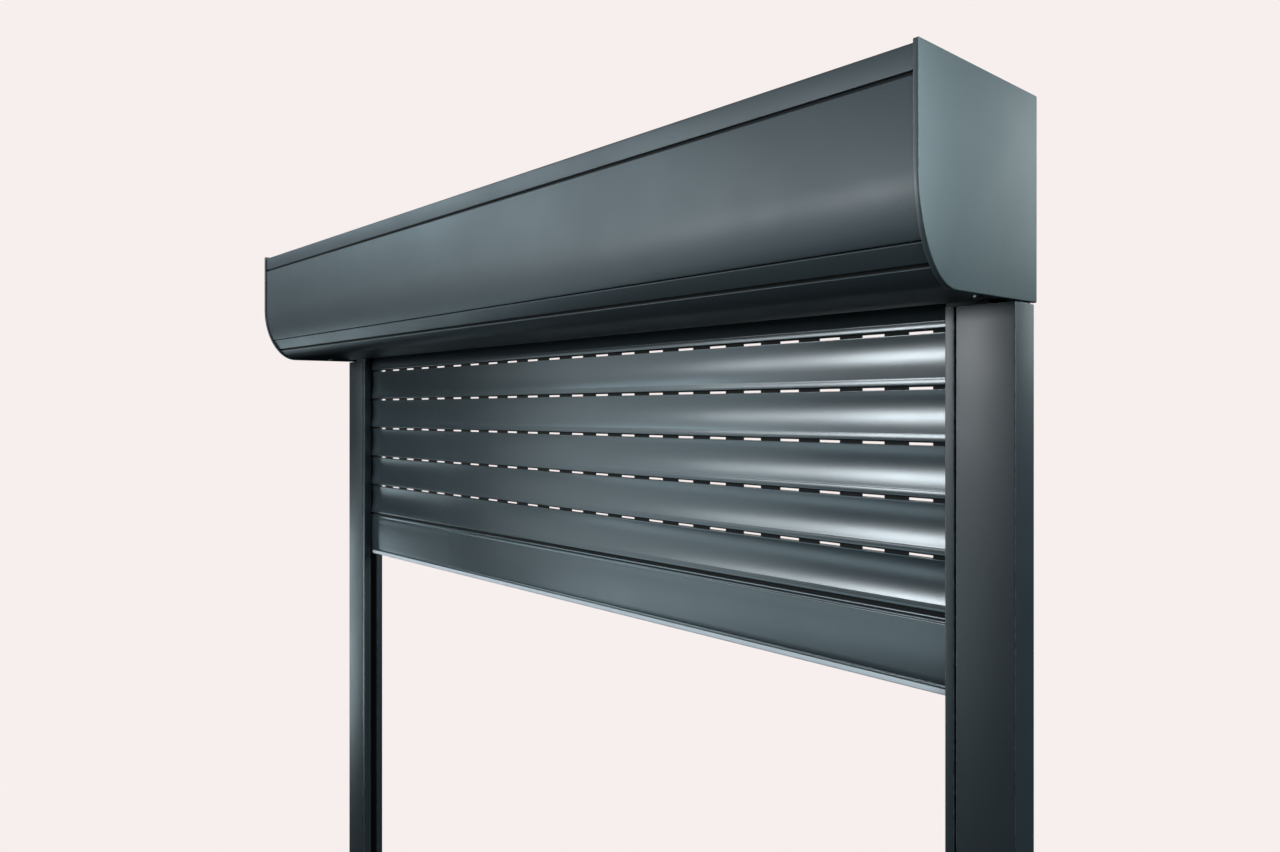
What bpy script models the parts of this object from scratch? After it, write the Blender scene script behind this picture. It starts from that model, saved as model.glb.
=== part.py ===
"""Front-mounted roller shutter with the tubular motor that drives it, as separate pieces.

Metres, +Z up. X runs along the shutter box, with the motor at +X, and -Y faces outdoors.
The origin is the middle of the box's back face, which lies against the wall.
"""
import math

import bmesh
import bpy
from mathutils import Vector

# Shutter box: a vertical front, then a quarter-ellipse corner down to a flat underside.
BOX_WIDTH = 1.117
BOX_DEPTH = 0.165
BOX_HEIGHT = 0.1555
FACE_RUN = 0.080
CORNER_DEPTH = 0.047
CORNER_STEPS = 12
CAP_PLATE = 0.0042
CAP_FLANGE = 0.015
SHEET = 0.0016
SHELL_INSET = 0.0019
TOP_BAND = 0.0197
COVER_TOP = 0.0224
COVER_END = 0.1285
LOWER_GROOVE = 0.1432
PANEL_STEP = 0.0024
PANEL_BEHIND = 0.0042
SCREW_SHANK = 0.0018
SCREW_HEAD = 0.0036
SCREW_HEAD_RISE = 0.0022
SCREW_REACH = 0.0155
FIT = 0.0003

# Guide rails, measured from the edge that faces the curtain.
RAIL_WIDTH = 0.056
RAIL_DEPTH = 0.030
RAIL_LENGTH = 0.802
RAIL_SETBACK = 0.0022
RAIL_WALL = 0.002
RAIL_LIP = 0.0075
RAIL_CUT = 0.0092
RAIL_ROOM = 0.0112
CHANNEL_REACH = 0.034
CHANNEL_HALF = 0.006
SLAT_REACH = 0.028
FOOT_PLATE = 0.003
FUNNEL_HEIGHT = 0.026
FUNNEL_FLARE = 0.0035
PEG_X = (0.5386, 0.5519)
PEG_Y = (-0.0196, -0.0044)
CAP_PEG = 0.050
FOOT_PEG = 0.014

# Curtain: every slat hangs from the lips of the one above it.
CURTAIN_Y = -0.0145
SLAT_PITCH = 0.045
FIRST_JOINT = 0.082
SLAT_COUNT = 7
SLOT_LENGTH = 0.0224
SLOT_PERIOD = 0.0448
SLOT_COUNT = 22
SLOT_HEIGHT = 0.0021
SLOT_RISE = -0.00025
SLAT_WALL = 0.0009
FACE_TOP = 0.0033
FACE_LOW = 0.0041
FACE_SAG = 0.00175
REAR_TOP = 0.0022
REAR_LOW = 0.0030
REAR_RISE = 0.0016
POCKET_HALF = 0.0023
BAR_HEIGHT = 0.058
SEAL_HEIGHT = 0.005

# Winding shaft and the slats wound on it.
ROLL_Y = -0.0845
ROLL_Z = 0.003
TUBE_FLAT = 0.030
TUBE_WALL = 0.0012
WOUND_COUNT = 9
WOUND_START = 0.0412
WOUND_LIFT = 0.0110
WOUND_THICK = 0.0082
WOUND_RISE = 0.003
TUBE_ENDS = (-0.532, 0.5165)
STRAP_X = 0.36
STRAP_HALF = 0.012
PIVOT_RADIUS = 0.006

# Tubular motor, with one planetary stage at its output.
MOTOR_RADIUS = 0.0225
MOTOR_INNER = 0.0214
GEAR_MODULE = 0.00096
SUN_TEETH = 12
PLANET_TEETH = 12
RING_TEETH = 36
PLANET_COUNT = 3
GEAR_ENDS = (0.105, 0.119)
DRIVE_HALF = 0.005
ROTOR_RADIUS = 0.0106
SPINDLE_RADIUS = 0.003
HEAD_START = 0.5215
HEAD_RIM = 0.0045
BUTTON_RADIUS = 0.003
BUTTON_X = (0.530, 0.541)
ROUND = 24

Z_TOP = BOX_HEIGHT / 2
Z_BOTTOM = -Z_TOP
Y_FRONT = -BOX_DEPTH
CAP_INNER = BOX_WIDTH / 2 - CAP_PLATE
RAIL_OUTER = BOX_WIDTH / 2 - RAIL_SETBACK
RAIL_INNER = RAIL_OUTER - RAIL_WIDTH
RAIL_TOP = Z_BOTTOM - FIT
RAIL_BOTTOM = RAIL_TOP - RAIL_LENGTH
SLAT_HALF = RAIL_INNER + SLAT_REACH
CORNER_Y = Y_FRONT + CORNER_DEPTH
CORNER_Z = Z_TOP - FACE_RUN
CORNER_HEIGHT = BOX_HEIGHT - FACE_RUN
SCREW_X = BOX_WIDTH / 2 - 0.0127
SCREW_Y = Y_FRONT + 0.100
SHAFT = (0.0, ROLL_Y, ROLL_Z)


def clear_scene():
    for obj in list(bpy.data.objects):
        bpy.data.objects.remove(obj, do_unlink=True)


def make_material(name, color, roughness, metallic):
    mat = bpy.data.materials.new(name)
    mat.use_nodes = True
    shader = mat.node_tree.nodes["Principled BSDF"]
    shader.inputs["Base Color"].default_value = (*color, 1.0)
    shader.inputs["Roughness"].default_value = roughness
    shader.inputs["Metallic"].default_value = metallic
    return mat


def prism(loops, axis, low, high):
    """A solid whose section is the first loop less the others, drawn out along one axis."""
    place = {
        "X": lambda u, v, t: (t, u, v),
        "Y": lambda u, v, t: (u, t, v),
        "Z": lambda u, v, t: (u, v, t),
    }[axis]
    bm = bmesh.new()
    for loop in loops:
        verts = [bm.verts.new(place(u, v, low)) for u, v in loop]
        for start, end in zip(verts, verts[1:] + verts[:1]):
            bm.edges.new((start, end))
    bmesh.ops.triangle_fill(bm, edges=bm.edges[:], use_beauty=True)
    raised = bmesh.ops.extrude_face_region(bm, geom=bm.faces[:])["geom"]
    top = [item for item in raised if isinstance(item, bmesh.types.BMVert)]
    bmesh.ops.translate(bm, verts=top, vec=place(0, 0, high - low))
    bmesh.ops.recalc_face_normals(bm, faces=bm.faces[:])
    return bm


def block(low, high):
    """A box between two corners."""
    corners = [(low[1], low[2]), (high[1], low[2]), (high[1], high[2]), (low[1], high[2])]
    return prism([corners], "X", low[0], high[0])


def turned(outline, steps=ROUND):
    """A solid turned about the X axis from a closed outline of (x, radius) points."""
    bm = bmesh.new()
    verts = [bm.verts.new((x, radius, 0.0)) for x, radius in outline]
    pairs = zip(verts, verts[1:] + verts[:1])
    edges = [bm.edges.new(pair) for pair in pairs if pair[0].co.y + pair[1].co.y > 1e-7]
    bmesh.ops.spin(
        bm, geom=verts + edges, cent=(0, 0, 0), axis=(1, 0, 0), angle=math.tau, steps=steps
    )
    bmesh.ops.remove_doubles(bm, verts=bm.verts[:], dist=1e-6)
    bmesh.ops.recalc_face_normals(bm, faces=bm.faces[:])
    return bm


def rod(x0, x1, radius, steps=ROUND):
    return turned([(x0, 0.0), (x0, radius), (x1, radius), (x1, 0.0)], steps)


def pipe(x0, x1, outer, inner, steps=ROUND):
    return turned([(x0, inner), (x0, outer), (x1, outer), (x1, inner)], steps)


def moved(bm, offset):
    bmesh.ops.translate(bm, verts=bm.verts[:], vec=offset)
    return bm


def circle(radius, steps, centre=(0.0, 0.0), start=0.0):
    angles = [start + math.tau * i / steps for i in range(steps)]
    return [
        (centre[0] + radius * math.cos(a), centre[1] + radius * math.sin(a)) for a in angles
    ]


def square(half, centre=(0.0, 0.0)):
    return circle(half * math.sqrt(2), 4, centre, math.pi / 4)


def octagon(flat):
    """A regular octagon whose flats lie at the given distance from its centre."""
    return circle(flat / math.cos(math.pi / 8), 8, start=math.pi / 8)


def mirrored(bm, side):
    """The same solid for the left (-1) or the right (+1) end of the shutter."""
    if side < 0:
        bmesh.ops.scale(bm, verts=bm.verts[:], vec=(-1, 1, 1))
        bmesh.ops.reverse_faces(bm, faces=bm.faces[:])
    return bm


def add_object(name, bm, mat, location=(0, 0, 0), smooth=None):
    mesh = bpy.data.meshes.new(name)
    bm.to_mesh(mesh)
    bm.free()
    obj = bpy.data.objects.new(name, mesh)
    bpy.context.scene.collection.objects.link(obj)
    obj.location = location
    mesh.materials.append(mat)
    if smooth:
        mesh.shade_smooth()
        mesh.set_sharp_from_angle(angle=math.radians(smooth))
    return obj


def combine(obj, operation, bm):
    """Joins a shape to an object, or cuts it away, with a Boolean modifier."""
    tool = add_object(f"{obj.name}_tool", bm, obj.data.materials[0], obj.location)
    tool.hide_render = True
    tool.display_type = "WIRE"
    modifier = obj.modifiers.new(operation.title(), "BOOLEAN")
    modifier.operation = operation
    modifier.solver = "EXACT"
    modifier.object = tool


def corner_point(angle, inset):
    """A point of the box's rounded corner: 0 is its upper end, 90 degrees the underside."""
    across = (CORNER_DEPTH - inset) * math.cos(angle)
    down = (CORNER_HEIGHT - inset) * math.sin(angle)
    return CORNER_Y - across, CORNER_Z - down


def angle_at(drop):
    """The corner's angle at a height given as the drop below the box's top."""
    return math.asin((drop - FACE_RUN) / CORNER_HEIGHT)


def corner_arc(inset, start=0.0, end=math.pi / 2, steps=CORNER_STEPS):
    return [corner_point(start + (end - start) * i / steps, inset) for i in range(steps + 1)]


def at_drops(stations):
    """Corner points for (drop below the top, inset) pairs."""
    return [corner_point(angle_at(drop), inset) for drop, inset in stations]


def build_shells(coat):
    """The three aluminium shells between the end caps."""
    half = CAP_INNER - FIT
    face = Y_FRONT + SHELL_INSET
    top = Z_TOP - SHELL_INSET
    tongue = Y_FRONT + PANEL_BEHIND
    band = Z_TOP - TOP_BAND
    outline = [
        (0, Z_BOTTOM + SHELL_INSET), (0, top), (face, top), (face, band), (tongue, band),
        (tongue, band - 0.012), (tongue + 0.0012, band - 0.012), (tongue + 0.0012, band + SHEET),
        (face + SHEET, band + SHEET), (face + SHEET, top - SHEET), (-SHEET, top - SHEET),
        (-SHEET, Z_BOTTOM + SHELL_INSET),
    ]
    add_object("rear_shell", prism([outline], "X", -half, half), coat)

    end = angle_at(COVER_END)
    upper = Z_TOP - COVER_TOP
    outer = [(face, upper)] + corner_arc(SHELL_INSET, 0, end, 7)
    inner = [(face + SHEET, upper)] + corner_arc(SHELL_INSET + SHEET, 0, end, 7)
    add_object("front_cover", prism([outer + inner[::-1]], "X", -half, half), coat, smooth=30)

    step = PANEL_STEP
    behind = PANEL_BEHIND
    groove = LOWER_GROOVE
    outer = at_drops([
        (COVER_END - 0.009, behind), (COVER_END + 0.0004, behind), (COVER_END + 0.0004, step),
        (groove - 0.001, step), (groove - 0.0006, step + 0.0012),
        (groove + 0.0006, step + 0.0012), (groove + 0.001, step),
    ])
    outer += corner_arc(step, angle_at(groove + 0.003), math.pi / 2, 6)
    inner = at_drops([
        (COVER_END - 0.009, behind + 0.0014), (COVER_END + 0.002, behind + 0.0014),
        (COVER_END + 0.002, step + SHEET), (groove - 0.0022, step + SHEET),
        (groove - 0.0018, step + 0.0028), (groove + 0.0016, step + 0.0028),
        (groove + 0.002, step + SHEET),
    ])
    inner += corner_arc(step + SHEET, angle_at(groove + 0.003), math.pi / 2, 6)
    rear = -RAIL_DEPTH - 0.004
    floor = Z_BOTTOM + step
    lip = [(rear, floor), (rear, floor + 0.007), (rear - SHEET, floor + 0.007)]
    lip += [(rear - SHEET, floor + SHEET)]
    panel = add_object(
        "bottom_panel", prism([outer + lip + inner[::-1]], "X", -half, half), coat, smooth=30
    )
    for side in (-1, 1):
        hole = prism([circle(0.0024, 12, (side * SCREW_X, SCREW_Y))], "Z", Z_BOTTOM, floor + 0.01)
        combine(panel, "DIFFERENCE", hole)


def build_end_cap(side, name, coat):
    """A cast cap: outer plate, a flange inside the shells, a screw boss and the rail peg."""
    plate = [(0, Z_BOTTOM), (0, Z_TOP), (Y_FRONT, Z_TOP)] + corner_arc(0)
    cap = add_object(
        name, mirrored(prism([plate], "X", CAP_INNER, BOX_WIDTH / 2), side), coat, smooth=30
    )
    rear = -RAIL_DEPTH - 0.006
    outer, inner = 0.006, 0.008
    flange = [(rear, Z_BOTTOM + outer)] + corner_arc(outer)[::-1]
    flange += [(Y_FRONT + outer, Z_TOP - outer), (-0.0022, Z_TOP - outer), (-0.0022, 0.02)]
    flange += [(-0.0042, 0.02), (-0.0042, Z_TOP - inner), (Y_FRONT + inner, Z_TOP - inner)]
    flange += corner_arc(inner) + [(rear, Z_BOTTOM + inner)]
    start = CAP_INNER - CAP_FLANGE
    combine(cap, "UNION", mirrored(prism([flange], "X", start, CAP_INNER + 0.001), side))
    boss = block(
        (start, SCREW_Y - 0.006, Z_BOTTOM + 0.0045), (CAP_INNER + 0.001, SCREW_Y + 0.006, -0.058)
    )
    combine(cap, "UNION", mirrored(boss, side))
    seat = block((0.538, -0.020, Z_BOTTOM), (CAP_INNER + 0.001, -0.004, Z_BOTTOM + 0.004))
    combine(cap, "UNION", mirrored(seat, side))
    peg = block((PEG_X[0], PEG_Y[0], RAIL_TOP - CAP_PEG), (PEG_X[1], PEG_Y[1], Z_BOTTOM + 0.002))
    combine(cap, "UNION", mirrored(peg, side))
    bore = prism([circle(0.0021, 12, (side * SCREW_X, SCREW_Y))], "Z", -0.080, -0.061)
    combine(cap, "DIFFERENCE", bore)


def build_cover_screw(side, name, steel):
    """The screw that holds the bottom panel to the cap's boss."""
    rise = SCREW_HEAD_RISE
    head = [(0.0, 0.0), (0.0, 0.0022), (0.0008, SCREW_HEAD), (rise, SCREW_HEAD)]
    shank = [(rise, SCREW_SHANK), (SCREW_REACH - 0.001, SCREW_SHANK), (SCREW_REACH, 0.0)]
    bm = turned(head + shank, 16)
    bmesh.ops.rotate(
        bm, verts=bm.verts[:], cent=(0, 0, 0),
        matrix=Vector((1, 0, 0)).rotation_difference(Vector((0, 0, 1))).to_matrix(),
    )
    low = Z_BOTTOM + PANEL_STEP - FIT - rise
    add_object(name, bm, steel, (side * SCREW_X, SCREW_Y, low), smooth=40)


def rail_section():
    """The rail's extruded section from its inner edge: outline and two hollow chambers."""
    back = CURTAIN_Y + CHANNEL_HALF
    front = CURTAIN_Y - CHANNEL_HALF
    reach = CHANNEL_REACH
    depth = RAIL_DEPTH
    wall = RAIL_WALL
    outline = [
        (0, -depth), (RAIL_LIP, -depth), (RAIL_LIP, -depth + 0.003), (RAIL_CUT, -depth + 0.003),
        (RAIL_CUT, -depth), (RAIL_WIDTH - 0.0008, -depth), (RAIL_WIDTH, -depth + 0.0008),
        (RAIL_WIDTH, 0), (0, 0), (0, back), (reach, back), (reach, front), (0, front),
    ]
    front_room = [
        (RAIL_ROOM, -depth + wall), (RAIL_WIDTH - wall, -depth + wall), (RAIL_WIDTH - wall, -wall),
        (reach + wall, -wall), (reach + wall, front - wall), (RAIL_ROOM, front - wall),
    ]
    rear_room = [(wall, back + wall), (reach, back + wall), (reach, -wall), (wall, -wall)]
    return [outline, front_room, rear_room]


def placed(loops):
    """Rail sections start at the rail's inner edge, so this moves them out along X."""
    return [[(RAIL_INNER + u, v) for u, v in loop] for loop in loops]


def build_rail(side, word, coat, plastic):
    """One guide rail with the liner of its channel, its inlet funnel and its foot."""
    rail = mirrored(prism(placed(rail_section()), "Z", RAIL_BOTTOM, RAIL_TOP), side)
    add_object(f"guide_rail_{word}", rail, coat)

    back = CURTAIN_Y + CHANNEL_HALF - FIT
    front = CURTAIN_Y - CHANNEL_HALF + FIT
    skin = 0.0009
    reach = CHANNEL_REACH - FIT
    liner = [
        (0.0005, front), (reach, front), (reach, back), (0.0005, back), (0.0005, back - skin),
        (reach - skin, back - skin), (reach - skin, front + skin), (0.0005, front + skin),
    ]
    bm = mirrored(prism(placed([liner]), "Z", RAIL_BOTTOM + 0.001, RAIL_TOP - 0.001), side)
    add_object(f"rail_liner_{word}", bm, plastic)

    half = 0.0058
    ends = [
        (0, -0.0285), (0.0355, -0.0285), (0.0355, -0.0022), (0, -0.0022),
        (0, CURTAIN_Y + half), (0.031, CURTAIN_Y + half), (0.031, CURTAIN_Y - half),
        (0, CURTAIN_Y - half),
    ]
    funnel = prism(placed([ends]), "Z", Z_BOTTOM, Z_BOTTOM + FUNNEL_HEIGHT)
    for vert in funnel.verts:
        inside = abs(vert.co.y - CURTAIN_Y) < half + 1e-5
        if vert.co.z > Z_BOTTOM + FUNNEL_HEIGHT / 2 and inside:
            vert.co.y += math.copysign(FUNNEL_FLARE, vert.co.y - CURTAIN_Y)
    add_object(f"inlet_funnel_{word}", mirrored(funnel, side), plastic)

    plate = [(0, -RAIL_DEPTH), (RAIL_WIDTH, -RAIL_DEPTH), (RAIL_WIDTH, 0), (0, 0)]
    top = RAIL_BOTTOM - FIT
    foot = prism(placed([plate]), "Z", top - FOOT_PLATE, top)
    peg = block((PEG_X[0], PEG_Y[0], top - 0.001), (PEG_X[1], PEG_Y[1], top + FOOT_PEG))
    obj = add_object(f"rail_foot_{word}", mirrored(foot, side), plastic)
    combine(obj, "UNION", mirrored(peg, side))


def hook_side(sign):
    """Half of the hook along a slat's upper edge, from its neck up to its head."""
    return [(sign * 0.0008, -0.0015), (sign * 0.0008, 0.0033), (sign * 0.0019, 0.0033),
            (sign * 0.0019, 0.005)]


def slat_faces(top, low, steps, wall=0.0):
    """The dished outer face and the crowned rear face of a slat, both from the top down."""
    outer = []
    rear = []
    for i in range(steps + 1):
        part = i / steps
        bow = 4 * part * (1 - part)
        z = top + (low - top) * part
        face = FACE_TOP + (FACE_LOW - FACE_TOP) * part - FACE_SAG * bow
        back = REAR_TOP + (REAR_LOW - REAR_TOP) * part + REAR_RISE * bow
        outer.append((wall - face, z))
        rear.append((back - wall, z))
    return outer, rear


def slat_section():
    """A slat's section below its joint line: hook, hollow bowed body, bead and pocket."""
    outer, rear = slat_faces(-0.0015, -0.0372, 7)
    bead = [(-0.0042, -0.0382), (-0.0043, -0.0406), (-0.00415, -0.0428), (-0.0032, -0.0435)]
    half = POCKET_HALF
    lips = [(-0.0013, -0.0435), (-0.0013, -0.042), (-half, -0.042), (-half, -0.0363)]
    pocket = lips + [(-y, z) for y, z in reversed(lips)]
    tail = [(0.0027, -0.0435), (0.0031, -0.0428)]
    outline = hook_side(-1)[::-1] + outer + bead + pocket + tail + rear[::-1] + hook_side(1)
    front, back = slat_faces(-0.0025, -0.0353, 5, SLAT_WALL)
    return [outline, front + back[::-1]]


def joint_height(index):
    """Height of the joint line over slat number index, counted from the top one."""
    return Z_TOP - FIRST_JOINT - index * SLAT_PITCH


def build_slats(coat):
    for index in range(SLAT_COUNT):
        where = (0, CURTAIN_Y, joint_height(index))
        body = prism(slat_section(), "X", -SLAT_HALF, SLAT_HALF)
        slat = add_object(f"slat_{index + 1}", body, coat, where, 30)
        slots = bmesh.new()
        for i in range(SLOT_COUNT):
            middle = (i - (SLOT_COUNT - 1) / 2) * SLOT_PERIOD
            cube = bmesh.ops.create_cube(slots, size=1.0)["verts"]
            bmesh.ops.scale(slots, verts=cube, vec=(SLOT_LENGTH, 0.0036, SLOT_HEIGHT))
            bmesh.ops.translate(slots, verts=cube, vec=(middle, 0, SLOT_RISE))
        combine(slat, "DIFFERENCE", slots)


def build_bottom_bar(coat, seal):
    """The heavier end slat and the soft strip held in its T-slot."""
    where = (0, CURTAIN_Y, joint_height(SLAT_COUNT))
    base = -BAR_HEIGHT
    face = [
        (-0.0036, -0.0015), (-0.0040, -0.0032), (-0.0033, -0.0046), (-0.0033, -0.0056),
        (-0.0042, -0.0068), (-0.0042, base),
    ]
    slot = [(-0.0016, base), (-0.0016, base + 0.0022), (-0.0027, base + 0.0022),
            (-0.0027, base + 0.0048)]
    slot += [(-y, z) for y, z in reversed(slot)]
    back = [(0.0042, base), (0.0042, -0.004), (0.0034, -0.0015)]
    section = hook_side(-1)[::-1] + face + slot + back + hook_side(1)
    add_object("bottom_bar", prism([section], "X", -SLAT_HALF, SLAT_HALF), coat, where)

    top = base - FIT
    left = [
        (-0.0022, base + 0.0044), (-0.0022, base + 0.0026), (-0.0012, base + 0.0026),
        (-0.0012, top), (-0.0036, top), (-0.0036, top - SEAL_HEIGHT + 0.001),
        (-0.0026, top - SEAL_HEIGHT),
    ]
    strip = left + [(-y, z) for y, z in reversed(left)]
    half = RAIL_INNER - 0.003
    add_object("bottom_seal", prism([strip], "X", -half, half), seal, where)


def wound_loop(centre, heading, inset=0.0):
    """One loop of a slat's section on the roll: a crowned strip between two joints."""
    length = SLAT_PITCH - 0.0034 - 2 * inset
    half = WOUND_THICK / 2
    along = Vector((math.cos(heading), math.sin(heading)))
    out = Vector((along.y, -along.x))
    points = []
    for side, order in ((1, range(5)), (-1, range(4, -1, -1))):
        for i in order:
            part = i / 4 - 0.5
            rise = WOUND_RISE * (1 - 4 * part * part)
            thick = half * (0.62 if i in (0, 4) else 1.0) - inset
            points.append(tuple(centre + along * part * length + out * (rise + side * thick)))
    return points


def build_wound_slats(coat):
    """Slats on the roll, from the shaft outwards to the point where the curtain leaves it."""
    joints = []
    angle = 0.0
    radius = WOUND_START
    for _ in range(WOUND_COUNT + 1):
        joints.append((radius, angle))
        turn = 2 * math.asin(SLAT_PITCH / 2 / radius)
        angle -= turn
        radius += WOUND_LIFT * turn / math.tau
    last = joints[-1][1]
    for index in range(WOUND_COUNT):
        ends = []
        for radius, angle in joints[index:index + 2]:
            ends.append(Vector((math.cos(angle - last), math.sin(angle - last))) * radius)
        run = ends[1] - ends[0]
        heading = math.atan2(-run.y, -run.x)
        middle = (ends[0] + ends[1]) / 2
        loops = [wound_loop(middle, heading), wound_loop(middle, heading, SLAT_WALL)]
        solid = prism(loops, "X", -SLAT_HALF, SLAT_HALF)
        add_object(f"wound_slat_{index + 1:02d}", solid, coat, SHAFT, 30)


def build_shaft(steel, plastic):
    """The eight-sided tube, its plugs and the straps that hold the curtain to it."""
    bore = TUBE_FLAT - TUBE_WALL
    snug = bore - 0.0004
    tube = prism([octagon(TUBE_FLAT), octagon(bore)], "X", *TUBE_ENDS)
    add_object("octagonal_shaft_tube", tube, steel, SHAFT)
    crown = prism([octagon(snug), circle(MOTOR_RADIUS + 0.0004, ROUND)], "X", 0.498, 0.514)
    add_object("crown_ring", crown, plastic, SHAFT)
    wheel = prism([octagon(snug), square(DRIVE_HALF + FIT)], "X", 0.062, 0.082)
    add_object("drive_wheel", wheel, plastic, SHAFT)
    plug = add_object("idler_plug", prism([octagon(snug)], "X", -0.5335, -0.490), plastic, SHAFT)
    combine(plug, "UNION", rod(-0.5505, -0.525, PIVOT_RADIUS))
    for side, word in ((-1, "left"), (1, "right")):
        low = (side * STRAP_X - STRAP_HALF, -0.010, TUBE_FLAT + FIT)
        high = (side * STRAP_X + STRAP_HALF, 0.010, TUBE_FLAT + FIT + 0.0008)
        add_object(f"hanger_strap_{word}", block(low, high), steel, SHAFT)


def build_bearing(steel, cast):
    """The ball bearing of the idler end, in its holder on the left cap."""
    wall = -CAP_INNER + FIT
    holder = [
        (wall, 0.010), (wall, 0.024), (wall + 0.003, 0.024), (wall + 0.003, 0.0168),
        (wall + 0.0125, 0.0168), (wall + 0.0125, 0.0140), (wall + 0.003, 0.0140),
        (wall + 0.003, 0.010),
    ]
    add_object("bearing_holder", turned(holder), cast, SHAFT, 30)
    start = wall + 0.0035
    add_object("bearing_outer_ring", pipe(start, start + 0.008, 0.0137, 0.0104), steel, SHAFT, 30)
    inner_ring = pipe(start, start + 0.008, 0.0100, PIVOT_RADIUS + FIT)
    add_object("bearing_inner_ring", inner_ring, steel, SHAFT, 30)


def gear_outline(teeth, inward=False, start=0.0):
    """A gear's outline, with straight-flanked teeth slimmed a little for backlash."""
    pitch = GEAR_MODULE * teeth / 2
    tip = GEAR_MODULE * 0.80
    root = GEAR_MODULE * 1.15
    step = math.tau / teeth
    sign = -1 if inward else 1
    shape = [(-0.30, -root), (-0.115, tip), (0.115, tip), (0.30, -root)]
    points = []
    for tooth in range(teeth):
        for share, rise in shape:
            angle = start + (tooth + share) * step
            radius = pitch + sign * rise
            points.append((radius * math.cos(angle), radius * math.sin(angle)))
    return points


def build_gears(steel, plastic):
    """One planetary stage: ring fixed in the casing, planets on the carrier, sun on the rotor."""
    low, high = GEAR_ENDS
    ring = prism([circle(0.0211, ROUND), gear_outline(RING_TEETH, True)], "X", low, high)
    add_object("ring_gear", ring, steel, SHAFT)
    reach = GEAR_MODULE * (SUN_TEETH + PLANET_TEETH) / 2
    carrier = turned([
        (0.088, 0.0), (0.088, 0.0072), (0.100, 0.0072), (0.100, 0.0165), (0.104, 0.0165),
        (0.104, 0.0),
    ])
    obj = add_object("planet_carrier", carrier, steel, SHAFT, 30)
    combine(obj, "UNION", prism([square(DRIVE_HALF)], "X", 0.060, 0.0885))
    for index in range(PLANET_COUNT):
        angle = math.tau * index / PLANET_COUNT
        spot = (0, reach * math.cos(angle), reach * math.sin(angle))
        combine(obj, "UNION", moved(rod(0.1035, high - 0.0005, 0.0020, 12), spot))
        # Each planet keeps a gap between its teeth where the ring has a tooth.
        turn = angle + math.pi / PLANET_TEETH
        loops = [gear_outline(PLANET_TEETH, False, turn), circle(0.0023, 12)]
        where = (0, ROLL_Y + spot[1], ROLL_Z + spot[2])
        add_object(f"planet_gear_{index + 1}", prism(loops, "X", low, high - 0.0003), plastic, where)


def build_motor(steel, plastic, copper, cast):
    """The motor from its head at the right cap to the output shaft inside the tube."""
    plate = [(-0.032, -0.022), (-0.022, -0.032), (0.022, -0.032), (0.032, -0.022),
             (0.032, 0.022), (0.022, 0.032), (-0.022, 0.032), (-0.032, 0.022)]
    holes = [circle(0.0022, 10, (a * 0.023, b * 0.023)) for a in (-1, 1) for b in (-1, 1)]
    wall = CAP_INNER - FIT
    bracket = prism([plate, square(DRIVE_HALF + FIT)] + holes, "X", wall - 0.004, wall)
    add_object("motor_bracket", bracket, cast, SHAFT)

    head_end = wall - 0.004 - FIT
    rim = MOTOR_RADIUS + HEAD_RIM
    head = turned([(HEAD_START, 0.0), (HEAD_START, rim - 0.002), (HEAD_START + 0.002, rim),
                   (head_end, rim), (head_end, 0.0)])
    obj = add_object("motor_head", head, plastic, SHAFT, 30)
    combine(obj, "UNION", prism([square(DRIVE_HALF)], "X", head_end - 0.001, wall - 0.0006))
    for x in BUTTON_X:
        bore = circle(BUTTON_RADIUS + FIT, 16, (x, 0))
        combine(obj, "DIFFERENCE", prism([bore], "Z", -0.030, -0.016))
    combine(obj, "DIFFERENCE", block((0.5285, -0.030, -0.0065), (0.5435, -0.018, 0.0065)))
    insert = block((0.5288, -0.0285, -0.0062), (0.5432, -0.0183, 0.0062))
    socket = add_object("cable_socket", insert, plastic, SHAFT)
    combine(socket, "DIFFERENCE", block((0.531, -0.030, -0.004), (0.541, -0.021, 0.004)))

    add_object("motor_casing", pipe(0.090, HEAD_START - FIT, MOTOR_RADIUS, MOTOR_INNER), steel, SHAFT, 30)
    inside = MOTOR_INNER - FIT
    add_object("output_bush", pipe(0.0905, 0.0985, inside, 0.0075), cast, SHAFT, 30)
    add_object("stator", pipe(0.160, 0.260, inside, 0.0110), copper, SHAFT, 30)
    add_object("brake_coil", pipe(0.2785, 0.300, inside, 0.006), copper, SHAFT, 30)
    add_object("brake_armature", pipe(0.2743, 0.2775, 0.018, 0.0045), steel, SHAFT, 30)
    add_object("run_capacitor", rod(0.315, 0.385, 0.016), plastic, SHAFT, 30)
    add_object("limit_switch_unit", rod(0.400, 0.5175, inside), plastic, SHAFT, 30)

    thin = SPINDLE_RADIUS
    rotor = turned([
        (0.105, 0.0), (0.105, thin), (0.165, thin), (0.165, ROTOR_RADIUS), (0.255, ROTOR_RADIUS),
        (0.255, thin), (0.271, thin), (0.271, 0.014), (0.274, 0.014), (0.274, thin),
        (0.300, thin), (0.300, 0.0),
    ])
    obj = add_object("rotor", rotor, steel, SHAFT, 30)
    combine(obj, "UNION", prism([gear_outline(SUN_TEETH)], "X", 0.1046, 0.1187))


def build_limit_buttons(up, down):
    """Two push buttons under the motor head, one for each end position."""
    for name, x, mat in (("limit_button_up", BUTTON_X[0], up), ("limit_button_down", BUTTON_X[1], down)):
        button = prism([circle(BUTTON_RADIUS, 16)], "Z", -0.0295, -0.020)
        add_object(name, button, mat, (x, ROLL_Y, ROLL_Z), 30)


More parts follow.
